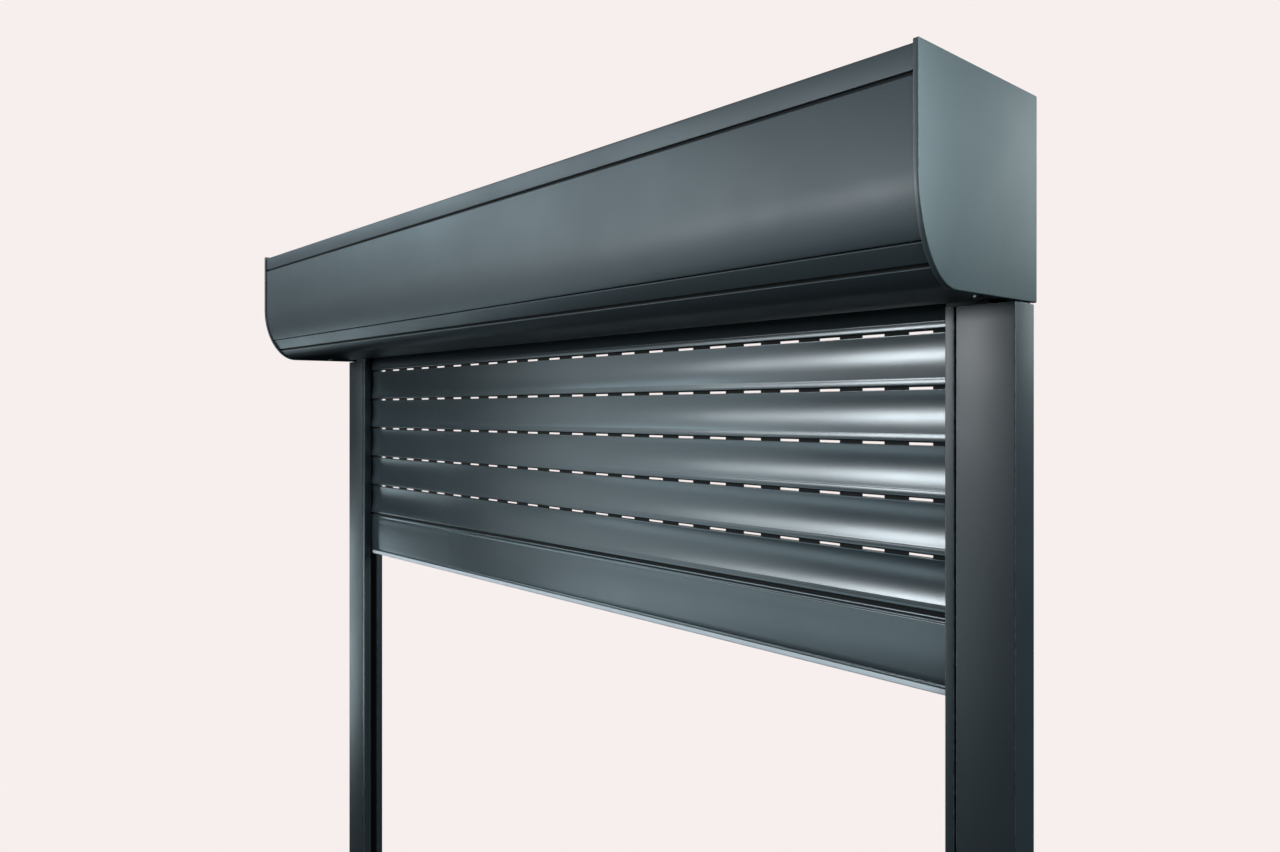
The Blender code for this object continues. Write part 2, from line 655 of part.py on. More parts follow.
def main():
    clear_scene()
    coat = make_material("anthracite_coat", (0.068, 0.082, 0.090), 0.42, 0.25)
    seal = make_material("grey_seal", (0.55, 0.57, 0.60), 0.60, 0.0)
    plastic = make_material("black_plastic", (0.02, 0.02, 0.022), 0.50, 0.0)
    steel = make_material("galvanised_steel", (0.55, 0.56, 0.57), 0.35, 1.0)
    cast = make_material("cast_zinc", (0.45, 0.45, 0.46), 0.45, 1.0)
    copper = make_material("copper_windings", (0.60, 0.28, 0.13), 0.40, 1.0)
    white = make_material("white_button", (0.80, 0.80, 0.78), 0.45, 0.0)
    yellow = make_material("yellow_button", (0.80, 0.55, 0.05), 0.45, 0.0)

    build_shells(coat)
    for side, word in ((-1, "left"), (1, "right")):
        build_end_cap(side, f"end_cap_{word}", coat)
        build_cover_screw(side, f"cover_screw_{word}", steel)
        build_rail(side, word, coat, plastic)
    build_slats(coat)
    build_bottom_bar(coat, seal)
    build_wound_slats(coat)
    build_shaft(steel, plastic)
    build_bearing(steel, cast)
    build_gears(steel, plastic)
    build_motor(steel, plastic, copper, cast)
    build_limit_buttons(white, yellow)


main()
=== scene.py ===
import math

import bmesh
import bpy
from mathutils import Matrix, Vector


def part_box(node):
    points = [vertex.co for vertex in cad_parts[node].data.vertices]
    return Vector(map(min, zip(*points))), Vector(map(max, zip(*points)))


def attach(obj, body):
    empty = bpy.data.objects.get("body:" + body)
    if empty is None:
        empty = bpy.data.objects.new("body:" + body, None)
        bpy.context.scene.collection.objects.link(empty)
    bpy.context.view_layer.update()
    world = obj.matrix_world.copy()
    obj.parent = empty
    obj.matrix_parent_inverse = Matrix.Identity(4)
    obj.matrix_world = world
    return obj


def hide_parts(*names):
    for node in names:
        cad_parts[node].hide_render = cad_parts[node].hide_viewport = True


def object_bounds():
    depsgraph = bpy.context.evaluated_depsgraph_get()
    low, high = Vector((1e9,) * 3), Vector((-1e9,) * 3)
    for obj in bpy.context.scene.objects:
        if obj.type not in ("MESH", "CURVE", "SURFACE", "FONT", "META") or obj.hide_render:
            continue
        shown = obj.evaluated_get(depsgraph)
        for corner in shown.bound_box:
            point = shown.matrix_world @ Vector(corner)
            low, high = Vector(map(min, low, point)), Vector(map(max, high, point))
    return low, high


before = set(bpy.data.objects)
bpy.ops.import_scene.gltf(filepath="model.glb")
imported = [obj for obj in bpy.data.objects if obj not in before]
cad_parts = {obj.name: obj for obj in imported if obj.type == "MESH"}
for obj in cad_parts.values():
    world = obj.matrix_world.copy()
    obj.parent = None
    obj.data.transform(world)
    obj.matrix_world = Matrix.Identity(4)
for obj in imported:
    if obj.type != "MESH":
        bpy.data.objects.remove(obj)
cadLow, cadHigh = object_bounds()
print("frame loaded,", len(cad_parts), "nodes")

# the camera stands to the right of the shutter, a little under the box, and looks level
cameraSetup = {
    "offset": (0.31066, -0.5170, -0.23638),  # from the box's upper right front corner
    "turn": 47.86,
    "lens": 25.84,
    "sensor": 36.0,
    "shiftUp": -0.0110,
}


def linkNew(name, data):
    obj = bpy.data.objects.new(name, data)
    bpy.context.scene.collection.objects.link(obj)
    return obj


def makeCamera():
    data = bpy.data.cameras.new("camera")
    data.lens = cameraSetup["lens"]
    data.sensor_width = cameraSetup["sensor"]
    data.shift_y = cameraSetup["shiftUp"]
    data.clip_start = 0.01
    obj = linkNew("camera", data)
    capLow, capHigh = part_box("end_cap_right")
    obj.location = Vector((capHigh.x, capLow.y, capHigh.z)) + Vector(cameraSetup["offset"])
    obj.rotation_euler = (math.radians(90), 0, math.radians(cameraSetup["turn"]))
    bpy.context.scene.camera = obj


makeCamera()


# shader groups: each gives masks, values or normals, and the shader stays in the material

def newGroup(name, inputs, outputs):
    group = bpy.data.node_groups.new(name, "ShaderNodeTree")
    for label, kind, value in inputs:
        socket = group.interface.new_socket(label, in_out="INPUT", socket_type=f"NodeSocket{kind}")
        if value is not None:
            socket.default_value = value
    for label, kind in outputs:
        group.interface.new_socket(label, in_out="OUTPUT", socket_type=f"NodeSocket{kind}")
    return group


def addNode(tree, kind, links=None, **settings):
    node = tree.nodes.new(kind)
    for key, value in settings.items():
        setattr(node, key, value)
    for key, source in (links or {}).items():
        if isinstance(source, bpy.types.NodeSocket):
            tree.links.new(source, node.inputs[key])
        else:
            node.inputs[key].default_value = source
    return node


def powderGrainGroup():
    # fine orange peel of a powder coat, and the slow drift in its shade
    group = newGroup(
        "powderGrain",
        [("Vector", "Vector", None), ("Size", "Float", 900.0), ("Drift", "Float", 6.0)],
        [("Height", "Float"), ("Mottle", "Float")],
    )
    entry = addNode(group, "NodeGroupInput")
    fine = addNode(group, "ShaderNodeTexNoise", {
        "Vector": entry.outputs["Vector"], "Scale": entry.outputs["Size"], "Detail": 2.0,
        "Roughness": 0.55,
    })
    slow = addNode(group, "ShaderNodeTexNoise", {
        "Vector": entry.outputs["Vector"], "Scale": entry.outputs["Drift"], "Detail": 4.0,
        "Roughness": 0.6,
    })
    leave = addNode(group, "NodeGroupOutput")
    group.links.new(fine.outputs[0], leave.inputs["Height"])
    group.links.new(slow.outputs[0], leave.inputs["Mottle"])
    return group


def edgeWearAndHighlightGroup():
    # 1 on sharp corners, broken up by noise so that the line is not even; it marks edge wear, and in
    # the cap and rail coats a painted highlight along the edges
    group = newGroup(
        "edgeWearAndHighlight",
        [("Vector", "Vector", None), ("Radius", "Float", 0.0006), ("Amount", "Float", 0.5)],
        [("Mask", "Float")],
    )
    entry = addNode(group, "NodeGroupInput")
    soft = addNode(group, "ShaderNodeBevel", {"Radius": entry.outputs["Radius"]}, samples=3)
    flat = addNode(group, "ShaderNodeNewGeometry")
    facing = addNode(group, "ShaderNodeVectorMath", {
        0: soft.outputs["Normal"], 1: flat.outputs["Normal"],
    }, operation="DOT_PRODUCT")
    edge = addNode(group, "ShaderNodeMapRange", {
        "Value": facing.outputs["Value"], "From Min": 0.995, "From Max": 0.90,
    })
    noise = addNode(group, "ShaderNodeTexNoise", {
        "Vector": entry.outputs["Vector"], "Scale": 160.0, "Detail": 3.0,
    })
    broken = addNode(group, "ShaderNodeMapRange", {
        "Value": noise.outputs[0], "From Min": 0.35, "From Max": 0.65,
    })
    both = addNode(group, "ShaderNodeMath", {
        0: edge.outputs[0], 1: broken.outputs[0],
    }, operation="MULTIPLY")
    mask = addNode(group, "ShaderNodeMath", {
        0: both.outputs[0], 1: entry.outputs["Amount"],
    }, operation="MULTIPLY", use_clamp=True)
    leave = addNode(group, "NodeGroupOutput")
    group.links.new(mask.outputs[0], leave.inputs["Mask"])
    return group


def settledDustGroup():
    # a thin film on faces that look up, in soft patches
    group = newGroup(
        "settledDust",
        [("Vector", "Vector", None), ("Amount", "Float", 0.2)],
        [("Mask", "Float")],
    )
    entry = addNode(group, "NodeGroupInput")
    geometry = addNode(group, "ShaderNodeNewGeometry")
    parts = addNode(group, "ShaderNodeSeparateXYZ", {0: geometry.outputs["Normal"]})
    upward = addNode(group, "ShaderNodeMapRange", {
        "Value": parts.outputs["Z"], "From Min": 0.3, "From Max": 1.0,
    })
    noise = addNode(group, "ShaderNodeTexNoise", {
        "Vector": entry.outputs["Vector"], "Scale": 24.0, "Detail": 6.0, "Roughness": 0.65,
    })
    patches = addNode(group, "ShaderNodeMapRange", {
        "Value": noise.outputs[0], "From Min": 0.3, "From Max": 0.75,
    })
    both = addNode(group, "ShaderNodeMath", {
        0: upward.outputs[0], 1: patches.outputs[0],
    }, operation="MULTIPLY")
    mask = addNode(group, "ShaderNodeMath", {
        0: both.outputs[0], 1: entry.outputs["Amount"],
    }, operation="MULTIPLY", use_clamp=True)
    leave = addNode(group, "NodeGroupOutput")
    group.links.new(mask.outputs[0], leave.inputs["Mask"])
    return group


def drawnLinesGroup():
    # the faint lines that rolling and drawing leave along a bar, stretched along one axis
    group = newGroup(
        "drawnLines",
        [("Vector", "Vector", None), ("Stretch", "Vector", (2.0, 900.0, 900.0))],
        [("Height", "Float")],
    )
    entry = addNode(group, "NodeGroupInput")
    scaled = addNode(group, "ShaderNodeVectorMath", {
        0: entry.outputs["Vector"], 1: entry.outputs["Stretch"],
    }, operation="MULTIPLY")
    noise = addNode(group, "ShaderNodeTexNoise", {
        "Vector": scaled.outputs[0], "Scale": 1.0, "Detail": 3.0,
    })
    leave = addNode(group, "NodeGroupOutput")
    group.links.new(noise.outputs[0], leave.inputs["Height"])
    return group


groups = {
    "grain": powderGrainGroup(),
    "wearAndHighlight": edgeWearAndHighlightGroup(),
    "dust": settledDustGroup(),
    "lines": drawnLinesGroup(),
}
print("shader groups made")


def placeGroup(tree, key, values):
    node = addNode(tree, "ShaderNodeGroup")
    node.node_tree = groups[key]
    for label, value in values.items():
        if isinstance(value, bpy.types.NodeSocket):
            tree.links.new(value, node.inputs[label])
        else:
            node.inputs[label].default_value = value
    return node


def mixColors(tree, mask, first, second):
    node = addNode(tree, "ShaderNodeMix", {"Factor": mask}, data_type="RGBA")
    for index, value in ((6, first), (7, second)):
        if isinstance(value, bpy.types.NodeSocket):
            tree.links.new(value, node.inputs[index])
        else:
            node.inputs[index].default_value = (*value, 1.0)
    return node.outputs[2]


dustColor = (0.42, 0.41, 0.38)
paintedShadeLook = {"color": (0.012, 0.013, 0.014), "rough": 0.8}  # painted shade: near black and rough on faces in the painted-shade mask
coatLooks = {
    # shade is the darker tone the colour drifts to; the edge colour shows on the edge mask: rubbed
    # paint on the box and slats, a painted highlight along the cap and rail edges
    "boxCoat": {
        "color": (0.060, 0.078, 0.088), "shade": (0.050, 0.066, 0.075),
        "wearAndHighlightTone": (0.13, 0.15, 0.17), "rough": 0.45, "roughSpread": 0.10, "metal": 0.3,
        "grain": 700.0, "depth": 0.30, "wearAndHighlight": 0.55, "dust": 0.10,
        "coat": 0.05, "edgeRough": 0.34,
    },
    "capCoat": {
        "color": (0.068, 0.089, 0.095), "shade": (0.057, 0.076, 0.081),
        # the bright edge colour and strong edge mask here paint a highlight along the cap's edges
        "wearAndHighlightTone": (0.50, 0.54, 0.56), "rough": 0.42, "roughSpread": 0.10, "metal": 0.2,
        "grain": 600.0, "depth": 0.34, "wearAndHighlight": 1.2, "dust": 0.10,
        "coat": 0.05, "edgeRough": 0.24,
    },
    "railCoat": {
        "color": (0.038, 0.047, 0.053), "shade": (0.031, 0.039, 0.045),
        # the bright edge colour and strong edge mask here paint a highlight along the rail's corners
        "wearAndHighlightTone": (0.55, 0.60, 0.62), "rough": 0.38, "roughSpread": 0.10, "metal": 0.3,
        "grain": 700.0, "depth": 0.30, "wearAndHighlight": 1.2, "dust": 0.05, "lines": 0.10,
        "stretch": (500.0, 500.0, 2.0), "coat": 0.10, "edgeRough": 0.28,
    },
    "slatCoat": {
        "color": (0.055, 0.074, 0.084), "shade": (0.045, 0.062, 0.071),
        "wearAndHighlightTone": (0.20, 0.23, 0.25), "rough": 0.22, "roughSpread": 0.05, "metal": 0.35,
        "grain": 800.0, "depth": 0.06, "wearAndHighlight": 0.35, "dust": 0.0,
        "coat": 0.25, "edgeRough": 0.2,
    },
}


def coatMaterial(name):
    look = coatLooks[name]
    mat = bpy.data.materials.new(name)
    mat.use_nodes = True
    tree = mat.node_tree
    shader = tree.nodes["Principled BSDF"]
    where = addNode(tree, "ShaderNodeTexCoord").outputs["Object"]
    grain = placeGroup(tree, "grain", {"Vector": where, "Size": look["grain"]})
    wearAndHighlight = placeGroup(tree, "wearAndHighlight", {"Vector": where, "Amount": look["wearAndHighlight"]})
    dust = placeGroup(tree, "dust", {"Vector": where, "Amount": look["dust"]})
    base = mixColors(tree, grain.outputs["Mottle"], look["color"], look["shade"])
    dusty = mixColors(tree, dust.outputs["Mask"], base, dustColor)
    # edge colour: rubbed paint, and on the cap and rails a painted highlight
    wearAndHighlightColor = mixColors(tree, wearAndHighlight.outputs["Mask"], dusty, look["wearAndHighlightTone"])
    rough = addNode(tree, "ShaderNodeMapRange", {
        "Value": grain.outputs["Mottle"], "From Min": 0.3, "From Max": 0.7,
        "To Min": look["rough"] - look["roughSpread"] / 2,
        "To Max": look["rough"] + look["roughSpread"] / 2,
    })
    # rubbed and highlighted edges are smoother, and the painted-shade mask paints shade: near black,
    # rough and without coat
    smoothEdge = addNode(tree, "ShaderNodeMix", {
        "Factor": wearAndHighlight.outputs["Mask"], 2: rough.outputs[0], 3: look["edgeRough"],
    })
    paintedShade = addNode(tree, "ShaderNodeAttribute", attribute_name="paintedShade").outputs["Fac"]
    paintedShadeRough = addNode(tree, "ShaderNodeMix", {
        "Factor": paintedShade, 2: smoothEdge.outputs[0], 3: paintedShadeLook["rough"],
    })
    tree.links.new(paintedShadeRough.outputs[0], shader.inputs["Roughness"])
    # painted shade: the colour goes to near black where the painted-shade mask is set
    paintedShadeColor = mixColors(tree, paintedShade, wearAndHighlightColor, paintedShadeLook["color"])
    tree.links.new(paintedShadeColor, shader.inputs["Base Color"])
    coated = addNode(tree, "ShaderNodeMapRange", {
        "Value": paintedShade, "To Min": look["coat"], "To Max": 0.0,
    })
    tree.links.new(coated.outputs[0], shader.inputs["Coat Weight"])
    height = grain.outputs["Height"]
    if "lines" in look:
        lines = placeGroup(tree, "lines", {"Vector": where, "Stretch": look["stretch"]})
        scaled = addNode(tree, "ShaderNodeMath", {
            0: lines.outputs["Height"], 1: look["lines"],
        }, operation="MULTIPLY")
        height = addNode(tree, "ShaderNodeMath", {
            0: height, 1: scaled.outputs[0],
        }, operation="ADD").outputs[0]
    bump = addNode(tree, "ShaderNodeBump", {
        "Height": height, "Strength": look["depth"], "Distance": 0.0002,
    })
    tree.links.new(bump.outputs[0], shader.inputs["Normal"])
    shader.inputs["Metallic"].default_value = look["metal"]
    shader.inputs["Coat Roughness"].default_value = 0.25
    return mat


plainLooks = {
    # colour, second tone that the noise mixes in, roughness, metallic, features per metre, bump
    "blackPlastic": ((0.016, 0.016, 0.018), (0.03, 0.03, 0.032), 0.48, 0.0, 700.0, 0.25),
    "brushPile": ((0.01, 0.01, 0.011), (0.025, 0.024, 0.024), 0.85, 0.0, 1500.0, 0.5),
    "greySeal": ((0.8, 0.84, 0.88), (0.7, 0.74, 0.79), 0.55, 0.0, 500.0, 0.2),
    "zincPlate": ((0.52, 0.53, 0.55), (0.36, 0.37, 0.39), 0.34, 1.0, 120.0, 0.08),
    "castZinc": ((0.4, 0.4, 0.41), (0.3, 0.3, 0.31), 0.5, 0.9, 500.0, 0.3),
    "gearSteel": ((0.46, 0.45, 0.44), (0.34, 0.33, 0.32), 0.28, 1.0, 300.0, 0.06),
    "gearNylon": ((0.72, 0.7, 0.62), (0.62, 0.6, 0.52), 0.42, 0.0, 260.0, 0.05),
    "copperWire": ((0.62, 0.25, 0.1), (0.38, 0.13, 0.05), 0.32, 0.9, 60.0, 0.3),
    "whiteButton": ((0.78, 0.78, 0.75), (0.7, 0.7, 0.66), 0.38, 0.0, 300.0, 0.05),
    "yellowButton": ((0.8, 0.5, 0.03), (0.7, 0.42, 0.02), 0.38, 0.0, 300.0, 0.05),
}


def plainMaterial(name):
    color, second, baseRough, metal, size, depth = plainLooks[name]
    mat = bpy.data.materials.new(name)
    mat.use_nodes = True
    tree = mat.node_tree
    shader = tree.nodes["Principled BSDF"]
    where = addNode(tree, "ShaderNodeTexCoord").outputs["Object"]
    grain = placeGroup(tree, "grain", {"Vector": where, "Size": size, "Drift": 40.0})
    wearAndHighlight = placeGroup(tree, "wearAndHighlight", {"Vector": where, "Amount": 0.3})
    base = mixColors(tree, grain.outputs["Mottle"], color, second)
    lighter = tuple(min(1.0, part * 1.8 + 0.02) for part in color)
    wearAndHighlightColor = mixColors(tree, wearAndHighlight.outputs["Mask"], base, lighter)
    tree.links.new(wearAndHighlightColor, shader.inputs["Base Color"])
    rough = addNode(tree, "ShaderNodeMapRange", {
        "Value": grain.outputs["Mottle"], "From Min": 0.3, "From Max": 0.7,
        "To Min": baseRough - 0.06, "To Max": baseRough + 0.06,
    })
    tree.links.new(rough.outputs[0], shader.inputs["Roughness"])
    bump = addNode(tree, "ShaderNodeBump", {
        "Height": grain.outputs["Height"], "Strength": depth, "Distance": 0.0002,
    })
    tree.links.new(bump.outputs[0], shader.inputs["Normal"])
    shader.inputs["Metallic"].default_value = metal
    return mat


materials = {name: coatMaterial(name) for name in coatLooks}
materials.update({name: plainMaterial(name) for name in plainLooks})
print("materials made:", len(materials))


# geometry node trees

def newTree(name, inputs):
    tree = bpy.data.node_groups.new(name, "GeometryNodeTree")
    tree.interface.new_socket("Geometry", in_out="INPUT", socket_type="NodeSocketGeometry")
    for label, kind, value in inputs:
        socket = tree.interface.new_socket(label, in_out="INPUT", socket_type=f"NodeSocket{kind}")
        if value is not None:
            socket.default_value = value
    tree.interface.new_socket("Geometry", in_out="OUTPUT", socket_type="NodeSocketGeometry")
    return tree


def finishTree(tree, entry, geometry):
    real = addNode(tree, "GeometryNodeRealizeInstances", {0: geometry})
    coated = addNode(tree, "GeometryNodeSetMaterial", {
        0: real.outputs[0], "Material": entry.outputs["Finish"],
    })
    addNode(tree, "NodeGroupOutput", {0: coated.outputs[0]})
    return tree


def runNodes(tree, entry):
    # fills a flat section, draws it out along Z, closes it underneath and turns it into place
    fill = addNode(tree, "GeometryNodeFillCurve", {0: entry.outputs["Geometry"]}, mode="NGONS")
    under = addNode(tree, "GeometryNodeFlipFaces", {0: fill.outputs[0]})
    raised = addNode(tree, "GeometryNodeExtrudeMesh", {
        "Mesh": fill.outputs[0], "Offset": (0.0, 0.0, 1.0),
        "Offset Scale": entry.outputs["Length"], "Individual": False,
    })
    both = addNode(tree, "GeometryNodeJoinGeometry")
    tree.links.new(under.outputs[0], both.inputs[0])
    tree.links.new(raised.outputs["Mesh"], both.inputs[0])
    welded = addNode(tree, "GeometryNodeMergeByDistance", {
        0: both.outputs[0], "Distance": 0.000001,
    })
    start = addNode(tree, "ShaderNodeCombineXYZ", {"Z": entry.outputs["Start"]})
    lowered = addNode(tree, "GeometryNodeTransform", {
        0: welded.outputs[0], "Translation": start.outputs[0],
    })
    rotation = addNode(tree, "FunctionNodeEulerToRotation", {0: entry.outputs["Turn"]})
    turned = addNode(tree, "GeometryNodeTransform", {
        0: lowered.outputs[0], "Rotation": rotation.outputs[0],
    })
    return turned.outputs[0]


runInputs = [
    ("Start", "Float", 0.0), ("Length", "Float", 1.0), ("Turn", "Vector", (0.0, 0.0, 0.0)),
    ("Finish", "Material", None),
]


def profileRunTree():
    tree = newTree("profileRun", runInputs)
    entry = addNode(tree, "NodeGroupInput")
    return finishTree(tree, entry, runNodes(tree, entry))


def slottedRunTree():
    # a profile run with a row of punched slots, such as the light slots in a slat's hook
    tree = newTree("slottedRun", runInputs + [
        ("Slot Count", "Int", 22), ("Slot Period", "Float", 0.0448),
        ("Slot Size", "Vector", (0.0224, 0.0036, 0.0036)),
        ("Slot Place", "Vector", (0.0, 0.0, 0.0)),
    ])
    entry = addNode(tree, "NodeGroupInput")
    bar = runNodes(tree, entry)
    period = addNode(tree, "ShaderNodeCombineXYZ", {"X": entry.outputs["Slot Period"]})
    row = addNode(tree, "GeometryNodeMeshLine", {
        "Count": entry.outputs["Slot Count"], "Offset": period.outputs[0],
        "Start Location": entry.outputs["Slot Place"],
    }, mode="OFFSET")
    punch = addNode(tree, "GeometryNodeMeshCube", {"Size": entry.outputs["Slot Size"]})
    placed = addNode(tree, "GeometryNodeInstanceOnPoints", {
        "Points": row.outputs[0], "Instance": punch.outputs[0],
    })
    tools = addNode(tree, "GeometryNodeRealizeInstances", {0: placed.outputs[0]})
    cut = addNode(tree, "GeometryNodeMeshBoolean", {
        "Mesh 1": bar, "Mesh 2": tools.outputs[0],
    }, operation="DIFFERENCE", solver="EXACT")
    return finishTree(tree, entry, cut.outputs[0])


def pileTree():
    # a strip of short bristles: one cone on each point of a line, leaning at random
    tree = newTree("bristlePile", [
        ("Count", "Int", 400), ("Start Place", "Vector", (0.0, 0.0, 0.0)),
        ("Step", "Vector", (0.0, 0.0, -0.002)), ("Bristle Length", "Float", 0.003),
        ("Bristle Radius", "Float", 0.0003), ("Lean", "Float", 0.25),
        ("Turn", "Vector", (0.0, 0.0, 0.0)), ("Seed", "Int", 7), ("Finish", "Material", None),
    ])
    entry = addNode(tree, "NodeGroupInput")
    row = addNode(tree, "GeometryNodeMeshLine", {
        "Count": entry.outputs["Count"], "Start Location": entry.outputs["Start Place"],
        "Offset": entry.outputs["Step"],
    }, mode="OFFSET")
    bristle = addNode(tree, "GeometryNodeMeshCone", {
        "Vertices": 4, "Radius Top": 0.00008, "Radius Bottom": entry.outputs["Bristle Radius"],
        "Depth": entry.outputs["Bristle Length"],
    })
    low = addNode(tree, "ShaderNodeVectorMath", {
        0: (-1.0, -1.0, -1.0), "Scale": entry.outputs["Lean"],
    }, operation="SCALE")
    high = addNode(tree, "ShaderNodeVectorMath", {
        0: (1.0, 1.0, 1.0), "Scale": entry.outputs["Lean"],
    }, operation="SCALE")
    lean = addNode(tree, "FunctionNodeRandomValue", {
        0: low.outputs[0], 1: high.outputs[0], "Seed": entry.outputs["Seed"],
    }, data_type="FLOAT_VECTOR")
    angle = addNode(tree, "ShaderNodeVectorMath", {
        0: entry.outputs["Turn"], 1: lean.outputs[0],
    }, operation="ADD")
    rotation = addNode(tree, "FunctionNodeEulerToRotation", {0: angle.outputs[0]})
    placed = addNode(tree, "GeometryNodeInstanceOnPoints", {
        "Points": row.outputs[0], "Instance": bristle.outputs[0],
        "Rotation": rotation.outputs[0],
    })
    return finishTree(tree, entry, placed.outputs[0])


def rowOfCopiesTree():
    # copies of the piece it sits on, one every step
    tree = newTree("rowOfCopies", [
        ("Count", "Int", 2), ("Start Place", "Vector", (0.0, 0.0, 0.0)),
        ("Step", "Vector", (1.0, 0.0, 0.0)), ("Finish", "Material", None),
    ])
    entry = addNode(tree, "NodeGroupInput")
    row = addNode(tree, "GeometryNodeMeshLine", {
        "Count": entry.outputs["Count"], "Start Location": entry.outputs["Start Place"],
        "Offset": entry.outputs["Step"],
    }, mode="OFFSET")
    placed = addNode(tree, "GeometryNodeInstanceOnPoints", {
        "Points": row.outputs[0], "Instance": entry.outputs["Geometry"],
    })
    return finishTree(tree, entry, placed.outputs[0])


trees = {
    "run": profileRunTree(),
    "slotted": slottedRunTree(),
    "pile": pileTree(),
    "copies": rowOfCopiesTree(),
}
print("geometry trees made")


# shared making steps

def roundedLoop(corners, steps=4):
    # corners are (u, v) or (u, v, reach), and a reach turns the corner into a short curve
    points = []
    for index, corner in enumerate(corners):
        here = Vector(corner[:2])
        if len(corner) < 3:
            points.append(here)
            continue
        toBefore = Vector(corners[index - 1][:2]) - here
        toAfter = Vector(corners[(index + 1) % len(corners)][:2]) - here
        reach = min(corner[2], toBefore.length * 0.45, toAfter.length * 0.45)
        start = here + toBefore.normalized() * reach
        end = here + toAfter.normalized() * reach
        for step in range(steps + 1):
            t = step / steps
            points.append(start * (1 - t) ** 2 + here * 2 * t * (1 - t) + end * t * t)
    return points


def sectionCurve(name, loops):
    data = bpy.data.curves.new(name, "CURVE")
    data.dimensions = "2D"
    data.fill_mode = "NONE"
    for loop in loops:
        spline = data.splines.new("POLY")
        spline.points.add(len(loop) - 1)
        for point, place in zip(spline.points, loop):
            point.co = (place[0], place[1], 0.0, 1.0)
        spline.use_cyclic_u = True
    obj = linkNew(name, data)
    return obj


def giveTree(obj, key, values):
    modifier = obj.modifiers.new(key, "NODES")
    modifier.node_group = trees[key]
    sockets = {item.name: item.identifier for item in trees[key].interface.items_tree
               if item.in_out == "INPUT"}
    for label, value in values.items():
        modifier[sockets[label]] = value
    return obj


def plainMesh(source, name, angle=35.0, finish=None):
    # turns an evaluated object into a plain mesh at the origin and drops the source
    bpy.context.view_layer.update()
    graph = bpy.context.evaluated_depsgraph_get()
    mesh = bpy.data.meshes.new_from_object(source.evaluated_get(graph), depsgraph=graph)
    mesh.transform(source.matrix_world)
    bpy.data.objects.remove(source, do_unlink=True)
    bm = bmesh.new()
    bm.from_mesh(mesh)
    bmesh.ops.remove_doubles(bm, verts=bm.verts[:], dist=0.000001)
    bmesh.ops.recalc_face_normals(bm, faces=bm.faces[:])
    bm.to_mesh(mesh)
    bm.free()
    mesh.name = name
    mesh.shade_smooth()
    mesh.set_sharp_from_angle(angle=math.radians(angle))
    if finish:
        mesh.materials.clear()
        mesh.materials.append(materials[finish])
    return linkNew(name, mesh)


def settle(piece, body, nodes):
    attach(piece, body)
    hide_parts(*nodes)
    return piece


alongBox = (math.radians(90), 0.0, math.radians(90))  # u becomes Y, v becomes Z, the run is X
upright = (0.0, 0.0, 0.0)  # u becomes X, v becomes Y, the run is Z


def runPiece(name, loops, start, length, turn, finish, angle=35.0):
    source = giveTree(sectionCurve(name + "Section", loops), "run", {
        "Start": start, "Length": length, "Turn": turn, "Finish": materials[finish],
    })
    return plainMesh(source, name, angle, finish)


# the box: three shells between two caps

capLow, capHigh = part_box("end_cap_right")
boxShape = {
    "top": capHigh.z,
    "floor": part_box("inlet_funnel_right")[0].z,
    "front": capLow.y,
    "faceRun": 0.080,  # straight part of the front, down to where the corner starts
    "cornerDepth": 0.047,
    "inset": 0.0019,
    "sheet": 0.0016,
    "edge": 0.0005,
    "bandDrop": 0.0197,
    "coverDrop": 0.0224,
    "coverEnd": 0.1285,
    "groove": 0.1432,
    "cornerSteps": 48,
    "tongue": 0.0042,
    "panelStep": 0.0024,
    "coverGap": 0.0010,
    "grooveHalf": 0.0015,
    "grooveDepth": 0.0017,
    "overlap": 0.009,  # how far the panel's tongue reaches up behind the cover
    "panelGap": 0.0004,
    "tongueDrop": 0.012,
    "tongueWall": 0.0012,
}


def markPaintedShade(mesh, inPaintedShade):
    # marks the points where the coats paint shade: near black, rough and without coat
    mark = mesh.attributes.new("paintedShade", "FLOAT", "POINT")
    for vert, item in zip(mesh.vertices, mark.data):
        item.value = 1.0 if inPaintedShade(vert.co) else 0.0


def nearSpots(spots, reach):
    return lambda co: any((co.yz - Vector(spot)).length < reach for spot in spots)


def cornerPoint(angle, inset):
    depth = boxShape["cornerDepth"]
    height = boxShape["top"] - boxShape["floor"] - boxShape["faceRun"]
    across = (depth - inset) * math.cos(angle)
    down = (height - inset) * math.sin(angle)
    return Vector((
        boxShape["front"] + depth - across, boxShape["top"] - boxShape["faceRun"] - down
    ))


def cornerAngle(drop):
    height = boxShape["top"] - boxShape["floor"] - boxShape["faceRun"]
    return math.asin((drop - boxShape["faceRun"]) / height)


def cornerArc(inset, start=0.0, end=math.pi / 2):
    count = max(4, round(boxShape["cornerSteps"] * (end - start) / (math.pi / 2)))
    return [cornerPoint(start + (end - start) * i / count, inset) for i in range(count + 1)]


